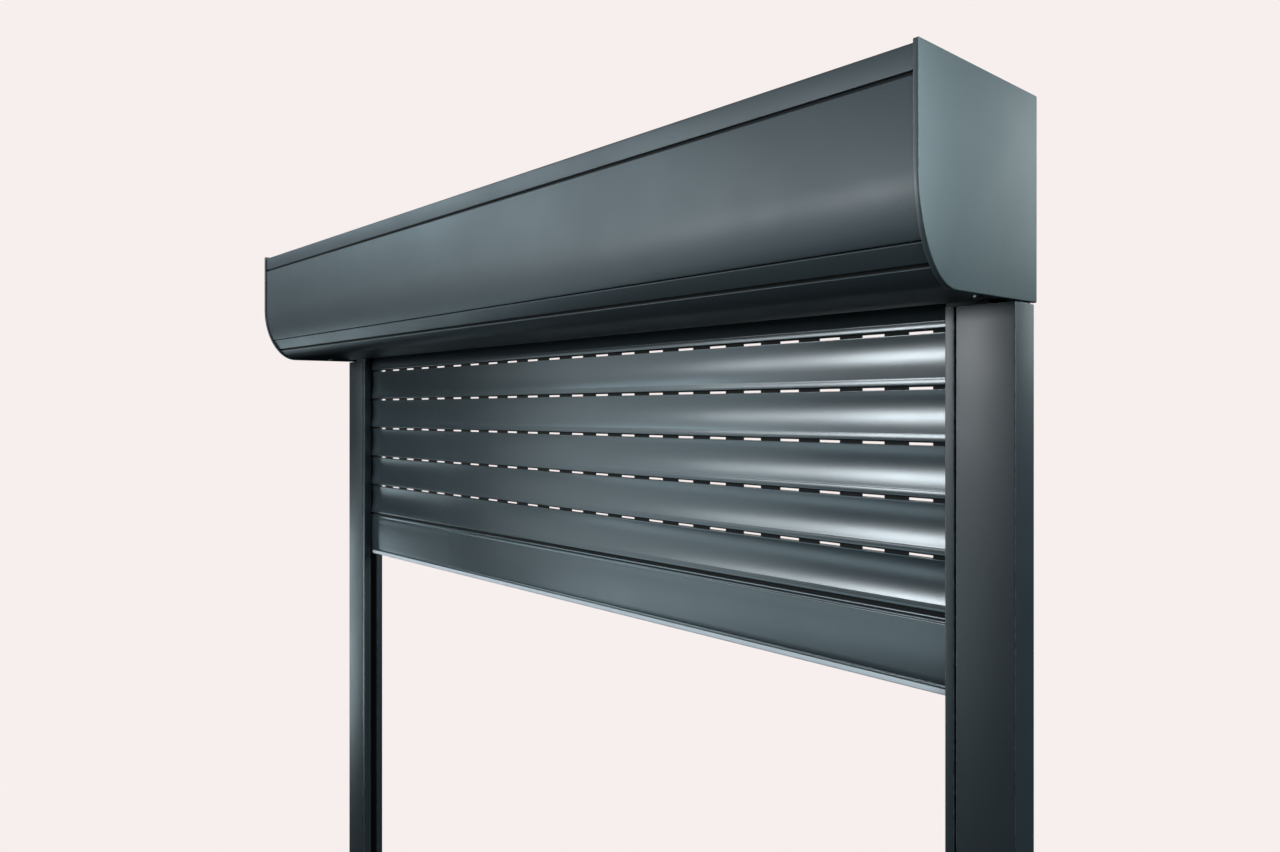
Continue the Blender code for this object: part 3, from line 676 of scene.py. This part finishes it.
def makeRearShell():
    shape = boxShape
    low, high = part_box("rear_shell")
    face = shape["front"] + shape["inset"]
    top = shape["top"] - shape["inset"]
    band = shape["top"] - shape["bandDrop"]
    tongue = shape["front"] + shape["tongue"]
    sheet, edge = shape["sheet"], shape["edge"]
    tip, wall = band - shape["tongueDrop"], shape["tongueWall"]
    section = roundedLoop([
        (high.y, low.z), (high.y, top, 0.002), (face, top, 0.0016), (face, band, 2 * edge),
        (tongue, band), (tongue, tip), (tongue + wall, tip), (tongue + wall, band + sheet),
        (face + sheet, band + sheet), (face + sheet, top - sheet),
        (high.y - sheet, top - sheet), (high.y - sheet, low.z),
    ])
    piece = runPiece("rearShell", [section], low.x, high.x - low.x, alongBox, "boxCoat")
    # painted shade in the slot behind the cover's lip
    markPaintedShade(piece.data, nearSpots([(tongue, band), (tongue, tip)], 0.0004))
    settle(piece, "housing", ["rear_shell"])


def makeFrontCover():
    shape = boxShape
    low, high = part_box("front_cover")
    face = shape["front"] + shape["inset"]
    upper = shape["top"] - shape["coverDrop"]
    end = cornerAngle(shape["coverEnd"] - shape["coverGap"])
    outer = cornerArc(shape["inset"], 0.0, end)
    inner = cornerArc(shape["inset"] + shape["sheet"], 0.0, end)
    lip = roundedLoop([(face + shape["sheet"], upper), (face, upper, 0.0009), tuple(outer[0])])
    section = lip[:-1] + outer[:-1]
    foot = roundedLoop([tuple(outer[-2]), (*outer[-1], 0.0007), tuple(inner[-1])])
    section += foot[1:-1] + inner[::-1]
    piece = runPiece("frontCover", [section], low.x, high.x - low.x, alongBox, "boxCoat")
    settle(piece, "housing", ["front_cover"])


def makeBottomPanel():
    shape = boxShape
    low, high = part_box("bottom_panel")
    step, behind, sheet = shape["panelStep"], shape["tongue"], shape["sheet"]
    end, groove = shape["coverEnd"], shape["groove"]
    half, deep = shape["grooveHalf"], shape["grooveDepth"]
    upper, lower = end - shape["overlap"], end + shape["panelGap"]

    def at(drop, inset, reach=None):
        place = tuple(cornerPoint(cornerAngle(drop), inset))
        return (*place, reach) if reach else place

    outer = roundedLoop([
        at(upper, behind), at(lower, behind), at(lower, step, 0.0005),
        at(groove - half, step, 0.0004), at(groove - half, step + deep, 0.0003),
        at(groove + half, step + deep, 0.0003), at(groove + half, step, 0.0004),
        at(groove + 0.0023, step),
    ])
    outer += cornerArc(step, cornerAngle(groove + 0.0026))
    inner = [
        at(upper, behind + 0.0014), at(end + 0.002, behind + 0.0014),
        at(end + 0.002, step + sheet), at(groove - 0.0028, step + sheet),
        at(groove - 0.0024, step + 0.0028), at(groove + 0.0022, step + 0.0028),
        at(groove + 0.0026, step + sheet),
    ]
    inner += cornerArc(step + sheet, cornerAngle(groove + 0.003))
    floor = shape["floor"] + step
    lip = roundedLoop([
        tuple(outer[-1]), (high.y, floor, 0.0012), (high.y, floor + 0.007),
        (high.y - sheet, floor + 0.007), (high.y - sheet, floor + sheet), tuple(inner[-1]),
    ])
    section = [Vector(p[:2]) for p in outer + lip[1:-1] + inner[::-1]]
    piece = runPiece("bottomPanel", [section], low.x, high.x - low.x, alongBox, "boxCoat")
    # painted shade where the panel's tongue meets the cover and in its groove
    spots = [at(upper, behind), at(lower, behind)]
    spots += [at(groove - half, step + deep), at(groove + half, step + deep)]
    markPaintedShade(piece.data, nearSpots(spots, 0.0008))
    settle(piece, "housing", ["bottom_panel"])


def objectFrom(bm, name):
    mesh = bpy.data.meshes.new(name)
    bm.to_mesh(mesh)
    bm.free()
    return linkNew(name, mesh)


def prismObject(name, loop, axis, start, end):
    # a plain prism as an object, for pieces finished by modifiers
    place = {"x": lambda u, v, t: (t, u, v), "z": lambda u, v, t: (u, v, t)}[axis]
    bm = bmesh.new()
    verts = [bm.verts.new(place(u, v, start)) for u, v in loop]
    face = bm.faces.new(verts)
    raised = bmesh.ops.extrude_face_region(bm, geom=[face])["geom"]
    top = [item for item in raised if isinstance(item, bmesh.types.BMVert)]
    bmesh.ops.translate(bm, verts=top, vec=place(0.0, 0.0, end - start))
    bmesh.ops.recalc_face_normals(bm, faces=bm.faces[:])
    return objectFrom(bm, name)


def blockLoop(low, high):
    return [(low[0], low[1]), (high[0], low[1]), (high[0], high[1]), (low[0], high[1])]


def addBevel(obj, width, segments=3, angle=40.0):
    bevel = obj.modifiers.new("edges", "BEVEL")
    bevel.width = width
    bevel.segments = segments
    bevel.limit_method = "ANGLE"
    bevel.angle_limit = math.radians(angle)
    bevel.harden_normals = False
    return obj


def mirrorSide(obj, side):
    if side < 0:
        obj.data.transform(((-1, 0, 0, 0), (0, 1, 0, 0), (0, 0, 1, 0), (0, 0, 0, 1)))
        obj.data.flip_normals()
    return obj


def joinSolids(base, tools, name, finish, operation="UNION"):
    for tool in tools:
        boolean = base.modifiers.new(tool.name, "BOOLEAN")
        boolean.operation = operation
        boolean.solver = "EXACT"
        boolean.object = tool
    piece = plainMesh(base, name, 35.0, finish)
    for tool in tools:
        bpy.data.objects.remove(tool, do_unlink=True)
    return piece


capShape = {
    "plate": 0.0042,
    "edge": 0.0009,
    "flange": 0.015,
    "flangeOuter": 0.006,
    "flangeInner": 0.008,
    "heel": 0.0024,  # rounding of the corner at the back of the underside
    "sink": 0.001,  # how far the inner parts run into the plate
    "wallGap": 0.0022,
    "ringEnd": 0.02,
    "bossHalf": 0.006,
    "bossRise": 0.0045,
    "bossRear": -0.058,
    "seatX": 0.538,
    "seatY": (-0.020, -0.004),
    "seatRise": 0.004,
    "pegX": (0.5386, 0.5519),
    "pegY": (-0.0196, -0.0044),
    "pegRise": 0.002,
}


def makeEndCap(word, side):
    shape, cap = boxShape, capShape
    high = capHigh
    inner = high.x - cap["plate"]
    outline = roundedLoop([
        (high.y, shape["floor"], cap["heel"]), (high.y, shape["top"], 0.0008),
        (shape["front"], shape["top"], 0.0012), tuple(cornerPoint(0.0, 0.0)),
    ])
    outline = outline[:-1] + cornerArc(0.0)
    plate = addBevel(prismObject("capPlate", outline, "x", inner, high.x), cap["edge"])
    mirrorSide(plate, side)
    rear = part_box("bottom_panel")[1].y - 0.002
    out, into = cap["flangeOuter"], cap["flangeInner"]
    top, front, floor = shape["top"], shape["front"], shape["floor"]
    ring = [(rear, floor + out)] + [tuple(p) for p in cornerArc(out)[::-1]]
    back, end = -cap["wallGap"], cap["ringEnd"]
    ring += [(front + out, top - out), (back, top - out), (back, end), (back - into + out, end)]
    ring += [(back - into + out, top - into), (front + into, top - into)]
    ring += [tuple(p) for p in cornerArc(into)] + [(rear, floor + into)]
    start, stop = inner - cap["flange"], inner + cap["sink"]
    screwLow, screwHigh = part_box("cover_screw_right")
    screwY, half = (screwLow.y + screwHigh.y) / 2, cap["bossHalf"]
    blocks = (
        ("capBoss", (screwY - half, floor + cap["bossRise"]), (screwY + half, cap["bossRear"]),
         start, stop),
        ("capSeat", (cap["seatY"][0], floor), (cap["seatY"][1], floor + cap["seatRise"]),
         cap["seatX"], stop),
        ("capPeg", (cap["pegY"][0], capLow.z), (cap["pegY"][1], floor + cap["pegRise"]),
         *cap["pegX"]),
    )
    tools = [mirrorSide(prismObject("capFlange", ring, "x", start, stop), side)]
    for name, first, last, begin, finish in blocks:
        block = prismObject(name, blockLoop(first, last), "x", begin, finish)
        tools.append(mirrorSide(block, side))
    piece = joinSolids(plate, tools, f"endCap{word.title()}", "capCoat")
    settle(piece, "housing", [f"end_cap_{word}"])


def turnedMesh(name, outline, steps):
    # outline is (radius, height) from the axis round to the axis
    bm = bmesh.new()
    verts = [bm.verts.new((radius, 0.0, height)) for radius, height in outline]
    edges = [bm.edges.new(pair) for pair in zip(verts, verts[1:])]
    bmesh.ops.spin(bm, geom=verts + edges, cent=(0, 0, 0), axis=(0, 0, 1), angle=math.tau,
                   steps=steps)
    bmesh.ops.remove_doubles(bm, verts=bm.verts[:], dist=0.000001)
    bmesh.ops.recalc_face_normals(bm, faces=bm.faces[:])
    return objectFrom(bm, name)


screwShape = {
    "headRadius": 0.0036,
    "headHeight": 0.0022,
    "shankRadius": 0.0018,
    "shankLength": 0.0133,
    "recess": 0.0009,  # half width of a cross arm
    "recessDepth": 0.0014,
}


def makeCoverScrews():
    shape = screwShape
    rim, rise = shape["headRadius"], shape["headHeight"]
    outline = [(0.0, 0.0), (rim * 0.45, 0.0)]
    for step in range(7):
        angle = math.radians(90 * step / 6)
        outline.append((rim * (0.62 + 0.38 * math.sin(angle)), rise * 0.8 * (1 - math.cos(angle))))
    outline += [(rim, rise), (shape["shankRadius"], rise)]
    turns = 18
    for step in range(turns):
        height = rise + 0.0004 + (shape["shankLength"] - 0.002) * step / turns
        outline.append((shape["shankRadius"] - (0.0002 if step % 2 else 0.0), height))
    outline.append((0.0, rise + shape["shankLength"]))
    screw = turnedMesh("screwBody", outline, 28)
    arms = []
    for index, (wide, deep) in enumerate(((0.0021, shape["recess"]), (shape["recess"], 0.0021))):
        loop = blockLoop((-wide, -deep), (wide, deep))
        arms.append(prismObject(f"crossArm{index}", loop, "z", -0.001, shape["recessDepth"]))
    screw = joinSolids(screw, arms, "screwCut", "zincPlate", "DIFFERENCE")
    left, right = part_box("cover_screw_left"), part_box("cover_screw_right")
    first = Vector(((left[0].x + left[1].x) / 2, (left[0].y + left[1].y) / 2, left[0].z))
    gap = (right[0].x + right[1].x) / 2 - first.x
    giveTree(screw, "copies", {
        "Count": 2, "Start Place": tuple(first), "Step": (gap, 0.0, 0.0),
        "Finish": materials["zincPlate"],
    })
    piece = plainMesh(screw, "coverScrews", 35.0, "zincPlate")
    settle(piece, "housing", ["cover_screw_left", "cover_screw_right"])


# guide rails

railShape = {
    "edge": 0.0006,
    "bevel": 0.0011,
    "wall": 0.002,
    "lip": 0.0075,
    "groove": 0.0017,
    "room": 0.0112,
    "grooveDepth": 0.003,
    "channelReach": 0.034,
    "channelHalf": 0.006,
    "liner": 0.0009,
    "linerFit": 0.0003,
    "linerStart": 0.0005,
    "bristleStep": 0.0016,
    "bristleIn": 0.0014,
    "bristleDrop": 0.001,
    "bristleLength": 0.0011,
    "bristleRadius": 0.0005,
    "bristleLean": 0.2,
    "bristleSeed": 11,
}
slatLow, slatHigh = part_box("slat_4")
curtainY = -0.0145


def sideLoops(loops, side, inner):
    # loops are drawn from the rail's inner edge outwards
    return [[(side * (inner + u), v) for u, v in loop] for loop in loops]


def makeRail(word, side):
    shape = railShape
    low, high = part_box("guide_rail_right")
    width, depth = high.x - low.x, -low.y
    back, front = curtainY + shape["channelHalf"], curtainY - shape["channelHalf"]
    reach, wall, edge = shape["channelReach"], shape["wall"], shape["edge"]
    lip, cut, room = shape["lip"], shape["lip"] + shape["groove"], shape["room"]
    floor = -depth + shape["grooveDepth"]
    outline = roundedLoop([
        (0, -depth, edge), (lip, -depth, edge), (lip, floor, 0.0003), (cut, floor, 0.0003),
        (cut, -depth, edge), (width, -depth, shape["bevel"]), (width, 0, edge), (0, 0, edge),
        (0, back, edge), (reach, back, 0.001), (reach, front, 0.001), (0, front, edge),
    ])
    frontRoom = [
        (room, -depth + wall), (width - wall, -depth + wall), (width - wall, -wall),
        (reach + wall, -wall), (reach + wall, front - wall), (room, front - wall),
    ]
    rearRoom = [(wall, back + wall), (reach, back + wall), (reach, -wall), (wall, -wall)]
    loops = sideLoops([outline, frontRoom, rearRoom], side, low.x)
    name = f"guideRail{word.title()}"
    piece = runPiece(name, loops, low.z, high.z - low.z, upright, "railCoat")
    settle(piece, "housing", [f"guide_rail_{word}"])


def makeLiner(word, side):
    # the channel's plastic lining with a row of short bristles along each lip
    shape = railShape
    low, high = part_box("rail_liner_right")
    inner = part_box("guide_rail_right")[0].x
    fit, skin, start = shape["linerFit"], shape["liner"], shape["linerStart"]
    back = curtainY + shape["channelHalf"] - fit
    front = curtainY - shape["channelHalf"] + fit
    reach = shape["channelReach"] - fit
    loop = roundedLoop([
        (start, front, 0.0003), (reach, front, 0.001), (reach, back, 0.001),
        (start, back, 0.0003), (start, back - skin, 0.0003), (reach - skin, back - skin, 0.0008),
        (reach - skin, front + skin, 0.0008), (start, front + skin, 0.0003),
    ])
    loops = sideLoops([loop], side, inner)
    name = f"railLiner{word.title()}"
    piece = runPiece(name, loops, low.z, high.z - low.z, upright, "blackPlastic")
    settle(piece, "housing", [f"rail_liner_{word}"])
    count = int((high.z - low.z) / shape["bristleStep"])
    top = high.z - shape["bristleDrop"]
    rows = ((front, -1), (back, 1))
    for index, (wall, toward) in enumerate(rows):
        host = linkNew("pileHost", bpy.data.meshes.new("pileHost"))
        giveTree(host, "pile", {
            "Count": count, "Start Place": (side * (inner + shape["bristleIn"]), wall, top),
            "Step": (0.0, 0.0, -shape["bristleStep"]), "Bristle Length": shape["bristleLength"],
            "Bristle Radius": shape["bristleRadius"], "Lean": shape["bristleLean"],
            "Turn": (math.radians(90 * toward), 0.0, 0.0),
            "Seed": shape["bristleSeed"] + index, "Finish": materials["brushPile"],
        })
        pile = plainMesh(host, f"brushPile{word.title()}{index + 1}", 60.0, "brushPile")
        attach(pile, "housing")


footShape = {"plate": 0.003, "edge": 0.0006}


def makeFoot(word, side):
    low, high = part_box("rail_foot_right")
    plateTop = low.z + footShape["plate"]
    plate = prismObject("footPlate", roundedLoop([
        (low.x, low.y, 0.001), (high.x, low.y, 0.002), (high.x, high.y, 0.001),
        (low.x, high.y, 0.001),
    ]), "z", low.z, plateTop)
    mirrorSide(addBevel(plate, footShape["edge"]), side)
    (left, right), (front, back) = capShape["pegX"], capShape["pegY"]
    peg = prismObject("footPeg", blockLoop((left, front), (right, back)), "z",
                      plateTop - capShape["sink"], high.z)
    piece = joinSolids(plate, [mirrorSide(peg, side)], f"railFoot{word.title()}", "blackPlastic")
    settle(piece, "housing", [f"rail_foot_{word}"])


funnelShape = {"half": 0.0058, "web": 0.031, "flare": 0.0035, "edge": 0.0005}


def makeFunnel(word, side):
    # a moulded mouth on top of the rail, flared where the curtain comes in
    low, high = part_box("inlet_funnel_right")
    half, web = funnelShape["half"], low.x + funnelShape["web"]
    loop = [
        (low.x, low.y), (high.x, low.y), (high.x, high.y), (low.x, high.y),
        (low.x, curtainY + half), (web, curtainY + half), (web, curtainY - half),
        (low.x, curtainY - half),
    ]
    obj = prismObject("funnelBody", loop, "z", low.z, high.z)
    bm = bmesh.new()
    bm.from_mesh(obj.data)
    rim = [v for v in bm.verts if v.co.z > high.z - 0.001 and abs(v.co.y - curtainY) < half + 0.0001]
    for vert in rim:
        vert.co.y += math.copysign(funnelShape["flare"], vert.co.y - curtainY)
    bm.to_mesh(obj.data)
    bm.free()
    addBevel(mirrorSide(obj, side), funnelShape["edge"], 2, 25.0)
    piece = plainMesh(obj, f"inletFunnel{word.title()}", 35.0, "blackPlastic")
    settle(piece, "housing", [f"inlet_funnel_{word}"])


# curtain: seven slats and the bottom bar

slatShape = {
    "hookRise": 0.005,  # top of the hook over the joint line
    "neck": 0.0008,
    "head": 0.0019,
    "headFoot": 0.0033,
    "shoulder": -0.0015,
    "faceEnd": -0.0372,
    "faceTop": 0.0033,  # the face is dished: it stands out at its ends and sags between them
    "faceLow": 0.0041,
    "faceSag": 0.00175,
    "rearTop": 0.0022,
    "rearLow": 0.0030,
    "rearRise": 0.0016,
    "beadTop": -0.0379,
    "beadLow": -0.0428,
    "beadBottom": -0.0435,
    "beadReach": 0.0043,
    "beadTaper": 0.0002,
    "beadFull": 0.6,  # share of the bead's height where it stands out furthest
    "lip": 0.0013,
    "pocketLow": -0.042,
    "pocketTop": -0.0363,
    "tail": [(0.0027, -0.0435, 0.0004), (0.0031, -0.0428, 0.0004)],
    "pocket": 0.0023,
    "slotCount": 22,
    "slotPeriod": 0.0448,
    "slotSize": (0.0224, 0.0036, 0.0021),
    "slotRise": -0.00025,
}


def hookSide(sign):
    shape = slatShape
    side = [
        (sign * shape["neck"], shape["shoulder"]), (sign * shape["neck"], shape["headFoot"]),
        (sign * shape["head"], shape["headFoot"], 0.0003),
        (sign * shape["head"], shape["hookRise"], 0.0006),
    ]
    return side


def slatSection():
    shape = slatShape
    steps = 26
    outer, rear = [], []
    top, low = shape["shoulder"], shape["faceEnd"]
    for i in range(steps + 1):
        part = i / steps
        bow = 4 * part * (1 - part)
        z = top + (low - top) * part
        face = shape["faceTop"] + (shape["faceLow"] - shape["faceTop"]) * part
        back = shape["rearTop"] + (shape["rearLow"] - shape["rearTop"]) * part
        outer.append((shape["faceSag"] * bow - face, z))
        rear.append((back + shape["rearRise"] * bow, z))
    outer[0] = (*outer[0], 0.0005)
    outer[-1] = (*outer[-1], 0.0003)
    reach, bottom, pocket = shape["beadReach"], shape["beadBottom"], shape["pocket"]
    bead = []
    for i in range(9):  # fullest near its lower end, so it looks up a little
        part = i / 8
        z = shape["beadTop"] + (shape["beadLow"] - shape["beadTop"]) * part
        bead.append((-reach + shape["beadTaper"] * (1 - part / shape["beadFull"]) ** 2, z))
    bead[0], bead[-1] = (*bead[0], 0.0006), (*bead[-1], 0.0006)
    lip, low, high = shape["lip"], shape["pocketLow"], shape["pocketTop"]
    lips = [(-lip, bottom, 0.0003), (-lip, low), (-pocket, low), (-pocket, high)]
    room = lips + [(-p[0], *p[1:]) for p in reversed(lips)]
    corners = hookSide(-1)[::-1] + outer + bead + [(-0.0032, bottom, 0.0004)] + room
    corners += shape["tail"] + rear[::-1] + hookSide(1)
    return roundedLoop(corners, 3)


def onHook(joint):
    # the hook's neck, which gets painted shade where the next slat covers it
    reach, foot = slatShape["head"] + 0.0001, joint + slatShape["shoulder"] - 0.0001
    return lambda co: abs(co.y - curtainY) < reach and co.z > foot


def makeSlat(index):
    node = f"slat_{index}"
    low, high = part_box(node)
    joint = high.z - slatShape["hookRise"]
    section = [(curtainY + p.x, joint + p.y) for p in slatSection()]
    first = -(slatShape["slotCount"] - 1) / 2 * slatShape["slotPeriod"]
    source = giveTree(sectionCurve("slatSection", [section]), "slotted", {
        "Start": low.x, "Length": high.x - low.x, "Turn": alongBox,
        "Finish": materials["slatCoat"], "Slot Count": slatShape["slotCount"],
        "Slot Period": slatShape["slotPeriod"], "Slot Size": slatShape["slotSize"],
        "Slot Place": (first, curtainY, joint + slatShape["slotRise"]),
    })
    piece = plainMesh(source, f"slat{index}", 35.0, "slatCoat")
    # painted shade on the hook's neck
    markPaintedShade(piece.data, onHook(joint))
    body = "curtain_top" if index < 3 else f"curtain_slat_{index}"
    settle(piece, body, [node])


barShape = {
    "height": 0.058,
    "half": 0.0042,
    "grooveTop": -0.0044,
    "grooveLow": -0.0058,
    "slotNeck": 0.0016,
    "slotRoom": 0.0027,
}


def makeBottomBar():
    shape = barShape
    low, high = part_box("bottom_bar")
    joint = high.z - slatShape["hookRise"]
    base, half = -shape["height"], shape["half"]
    face = [
        (-0.0036, -0.0015, 0.0005), (-0.0041, -0.0030, 0.0006), (-0.0034, shape["grooveTop"], 0.0005),
        (-0.0034, shape["grooveLow"], 0.0005), (-half, -0.0068, 0.0006),
    ]
    steps = 10
    for i in range(1, steps):  # the face is crowned by a third of a millimetre
        part = i / steps
        face.append((-half + 0.0003 - 0.0003 * math.sin(math.pi * part),
                     -0.0068 + (base + 0.004 + 0.0068) * part))
    face += [(-half + 0.0003, base + 0.0035, 0.0004), (-half + 0.0009, base + 0.0028, 0.0004),
             (-half + 0.0003, base + 0.0020, 0.0004), (-half + 0.0002, base, 0.0006)]
    slot = [(-shape["slotNeck"], base, 0.0003), (-shape["slotNeck"], base + 0.0022),
            (-shape["slotRoom"], base + 0.0022), (-shape["slotRoom"], base + 0.0048)]
    slot += [(-p[0], *p[1:]) for p in reversed(slot)]
    back = [(half, base, 0.0006), (half, -0.004, 0.0006), (0.0034, -0.0015, 0.0004)]
    corners = hookSide(-1)[::-1] + face + slot + back + hookSide(1)
    section = [(curtainY + p.x, joint + p.y) for p in roundedLoop(corners, 3)]
    piece = runPiece("bottomBar", [section], low.x, high.x - low.x, alongBox, "slatCoat")
    # painted shade on the hook's neck
    markPaintedShade(piece.data, onHook(joint))
    settle(piece, "curtain_end", ["bottom_bar"])


sealShape = {
    "foot": 0.0022,  # half width of the part held in the bar's slot
    "neck": 0.0012,
    "body": 0.0036,
    "base": 0.0026,
    "footTop": 0.0044,
    "footLow": 0.0026,
    "fit": 0.0003,
}


def makeBottomSeal():
    shape = sealShape
    low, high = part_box("bottom_seal")
    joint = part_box("bottom_bar")[1].z - slatShape["hookRise"]
    base = -barShape["height"]
    top, bottom = base - shape["fit"], low.z - joint
    foot, neck, body, ledge = shape["foot"], shape["neck"], shape["body"], base + shape["footLow"]
    half = [
        (-foot, base + shape["footTop"], 0.0004), (-foot, ledge, 0.0003), (-neck, ledge),
        (-neck, top), (-body, top, 0.0005), (-body, bottom + 0.001, 0.0009),
        (-shape["base"], bottom, 0.0007),
    ]
    corners = half + [(-p[0], *p[1:]) for p in reversed(half)]
    section = [(curtainY + p.x, joint + p.y) for p in roundedLoop(corners, 4)]
    piece = runPiece("bottomSeal", [section], low.x, high.x - low.x, alongBox, "greySeal")
    settle(piece, "curtain_end", ["bottom_seal"])


makeRearShell()
makeFrontCover()
makeBottomPanel()
print("box shells made")
for word, side in (("left", -1), ("right", 1)):
    makeEndCap(word, side)
    makeRail(word, side)
    makeLiner(word, side)
    makeFoot(word, side)
    makeFunnel(word, side)
makeCoverScrews()
print("caps, rails and screws made")
for index in range(1, 8):
    makeSlat(index)
makeBottomBar()
makeBottomSeal()
print("curtain made")

# pieces inside the box keep their solids and get their finish here
insideFinish = {
    "zincPlate": ["octagonal_shaft_tube", "hanger_strap_left", "hanger_strap_right",
        "motor_casing"],
    "gearSteel": ["bearing_inner_ring", "bearing_outer_ring", "brake_armature", "ring_gear",
        "planet_carrier", "rotor"],
    "castZinc": ["bearing_holder", "motor_bracket", "output_bush"],
    "blackPlastic": ["crown_ring", "drive_wheel", "idler_plug", "motor_head", "cable_socket",
        "limit_switch_unit"],
    "whiteButton": ["run_capacitor", "limit_button_up"],
    "copperWire": ["stator", "brake_coil"],
    "yellowButton": ["limit_button_down"],
    "gearNylon": [f"planet_gear_{number}" for number in range(1, 4)],
    "slatCoat": [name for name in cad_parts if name.startswith("wound_slat")],
}


def finishInside():
    for finish, names in insideFinish.items():
        for name in names:
            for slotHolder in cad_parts[name].material_slots:
                slotHolder.material = materials[finish]


finishInside()
print("inside pieces finished:", sum(len(names) for names in insideFinish.values()))


# stage: pale floor and background that the shutter doesn't mirror, and soft lights

stageLooks = {
    "pale": (0.930, 0.863, 0.847),
    "floorSize": 40.0,
    "lights": [
        # name, place, aim, width, height, power, colour
        ("keyRight", (-0.76, -2.15, 0.11), (0.45, 0.0, -0.12), 0.46, 0.32, 12.5, (1.0, 1.0, 1.0)),
        ("keyFade", (-1.35, -2.15, 0.12), (0.3, 0.0, -0.12), 0.6, 0.32, 5.0, (1.0, 1.0, 1.0)),
        ("tallLeft", (-2.1, -2.15, 0.1), (0.1, 0.0, -0.1), 1.2, 1.9, 12.0, (0.85, 0.96, 1.0)),
        ("highFront", (-1.5, -2.15, 0.95), (0.2, -0.1, 0.03), 2.0, 0.5, 5.0, (1.0, 0.93, 0.95)),
        ("farLeft", (-2.8, -2.0, 1.2), (-0.05, -0.1, 0.05), 1.6, 0.8, 20.0, (0.70, 0.92, 1.0)),
        ("lowLeft", (-3.1, -0.75, -1.1), (-0.3, -0.14, -0.06), 1.0, 0.9, 9.0, (0.75, 0.94, 1.0)),
        ("floorGlow", (-1.5, -2.15, -0.98), (0.1, 0.0, -0.3), 1.8, 0.33, 5.5, (0.80, 0.95, 1.0)),
        ("rightBack", (2.6, 0.9, 0.8), (0.56, -0.08, 0.0), 1.4, 1.4, 58.0, (0.80, 0.96, 1.0)),
        ("farBack", (1.2, 2.6, 0.6), (0.56, -0.08, 0.0), 1.2, 1.2, 11.0, (0.87, 0.98, 1.0)),
        ("rightFront", (2.2, -1.2, 0.4), (0.56, -0.08, 0.0), 1.2, 1.2, 18.0, (0.65, 0.89, 1.0)),
        ("frontFill", (0.4, -2.8, 1.6), (0.2, -0.1, 0.0), 1.6, 1.2, 8.0, (0.65, 0.88, 1.0)),
        ("topFill", (0.0, -0.3, 3.0), (0.0, -0.1, 0.0), 3.0, 2.0, 12.0, (1.0, 1.0, 1.0)),
        ("wallFill", (-1.6, 3.0, 1.4), (0.0, 0.0, -0.3), 2.4, 1.6, 30.0, (1.0, 1.0, 1.0)),
    ],
}


def paleMaterial(name):
    mat = bpy.data.materials.new(name)
    mat.use_nodes = True
    tree = mat.node_tree
    tree.nodes.remove(tree.nodes["Principled BSDF"])
    glow = addNode(tree, "ShaderNodeEmission", {"Color": (*stageLooks["pale"], 1.0)})
    tree.links.new(glow.outputs[0], tree.nodes["Material Output"].inputs["Surface"])
    return mat


def makeStage():
    half = stageLooks["floorSize"] / 2
    mesh = bpy.data.meshes.new("floor")
    height = cadLow.z - 0.0005
    corners = [(-half, -half), (half, -half), (half, half), (-half, half)]
    mesh.from_pydata([(x, y, height) for x, y in corners], [], [(0, 1, 2, 3)])
    mesh.materials.append(paleMaterial("paleFloor"))
    floor = linkNew("floor", mesh)
    floor.visible_diffuse = False
    floor.visible_glossy = False
    world = bpy.data.worlds.new("paleRoom")
    world.use_nodes = True
    background = world.node_tree.nodes["Background"]
    background.inputs["Color"].default_value = (*stageLooks["pale"], 1.0)
    world.cycles_visibility.diffuse = False
    world.cycles_visibility.glossy = False
    bpy.context.scene.world = world
    bpy.context.scene.view_settings.view_transform = "Standard"
    for name, place, aim, width, height, power, color in stageLooks["lights"]:
        data = bpy.data.lights.new(name, "AREA")
        data.shape = "RECTANGLE"
        data.size = width
        data.size_y = height
        data.energy = power
        data.color = color
        lamp = linkNew(name, data)
        lamp.location = place
        lamp.rotation_euler = (Vector(aim) - Vector(place)).to_track_quat("-Z", "Y").to_euler()
        lamp.visible_camera = False


makeStage()
print("stage and lights made")
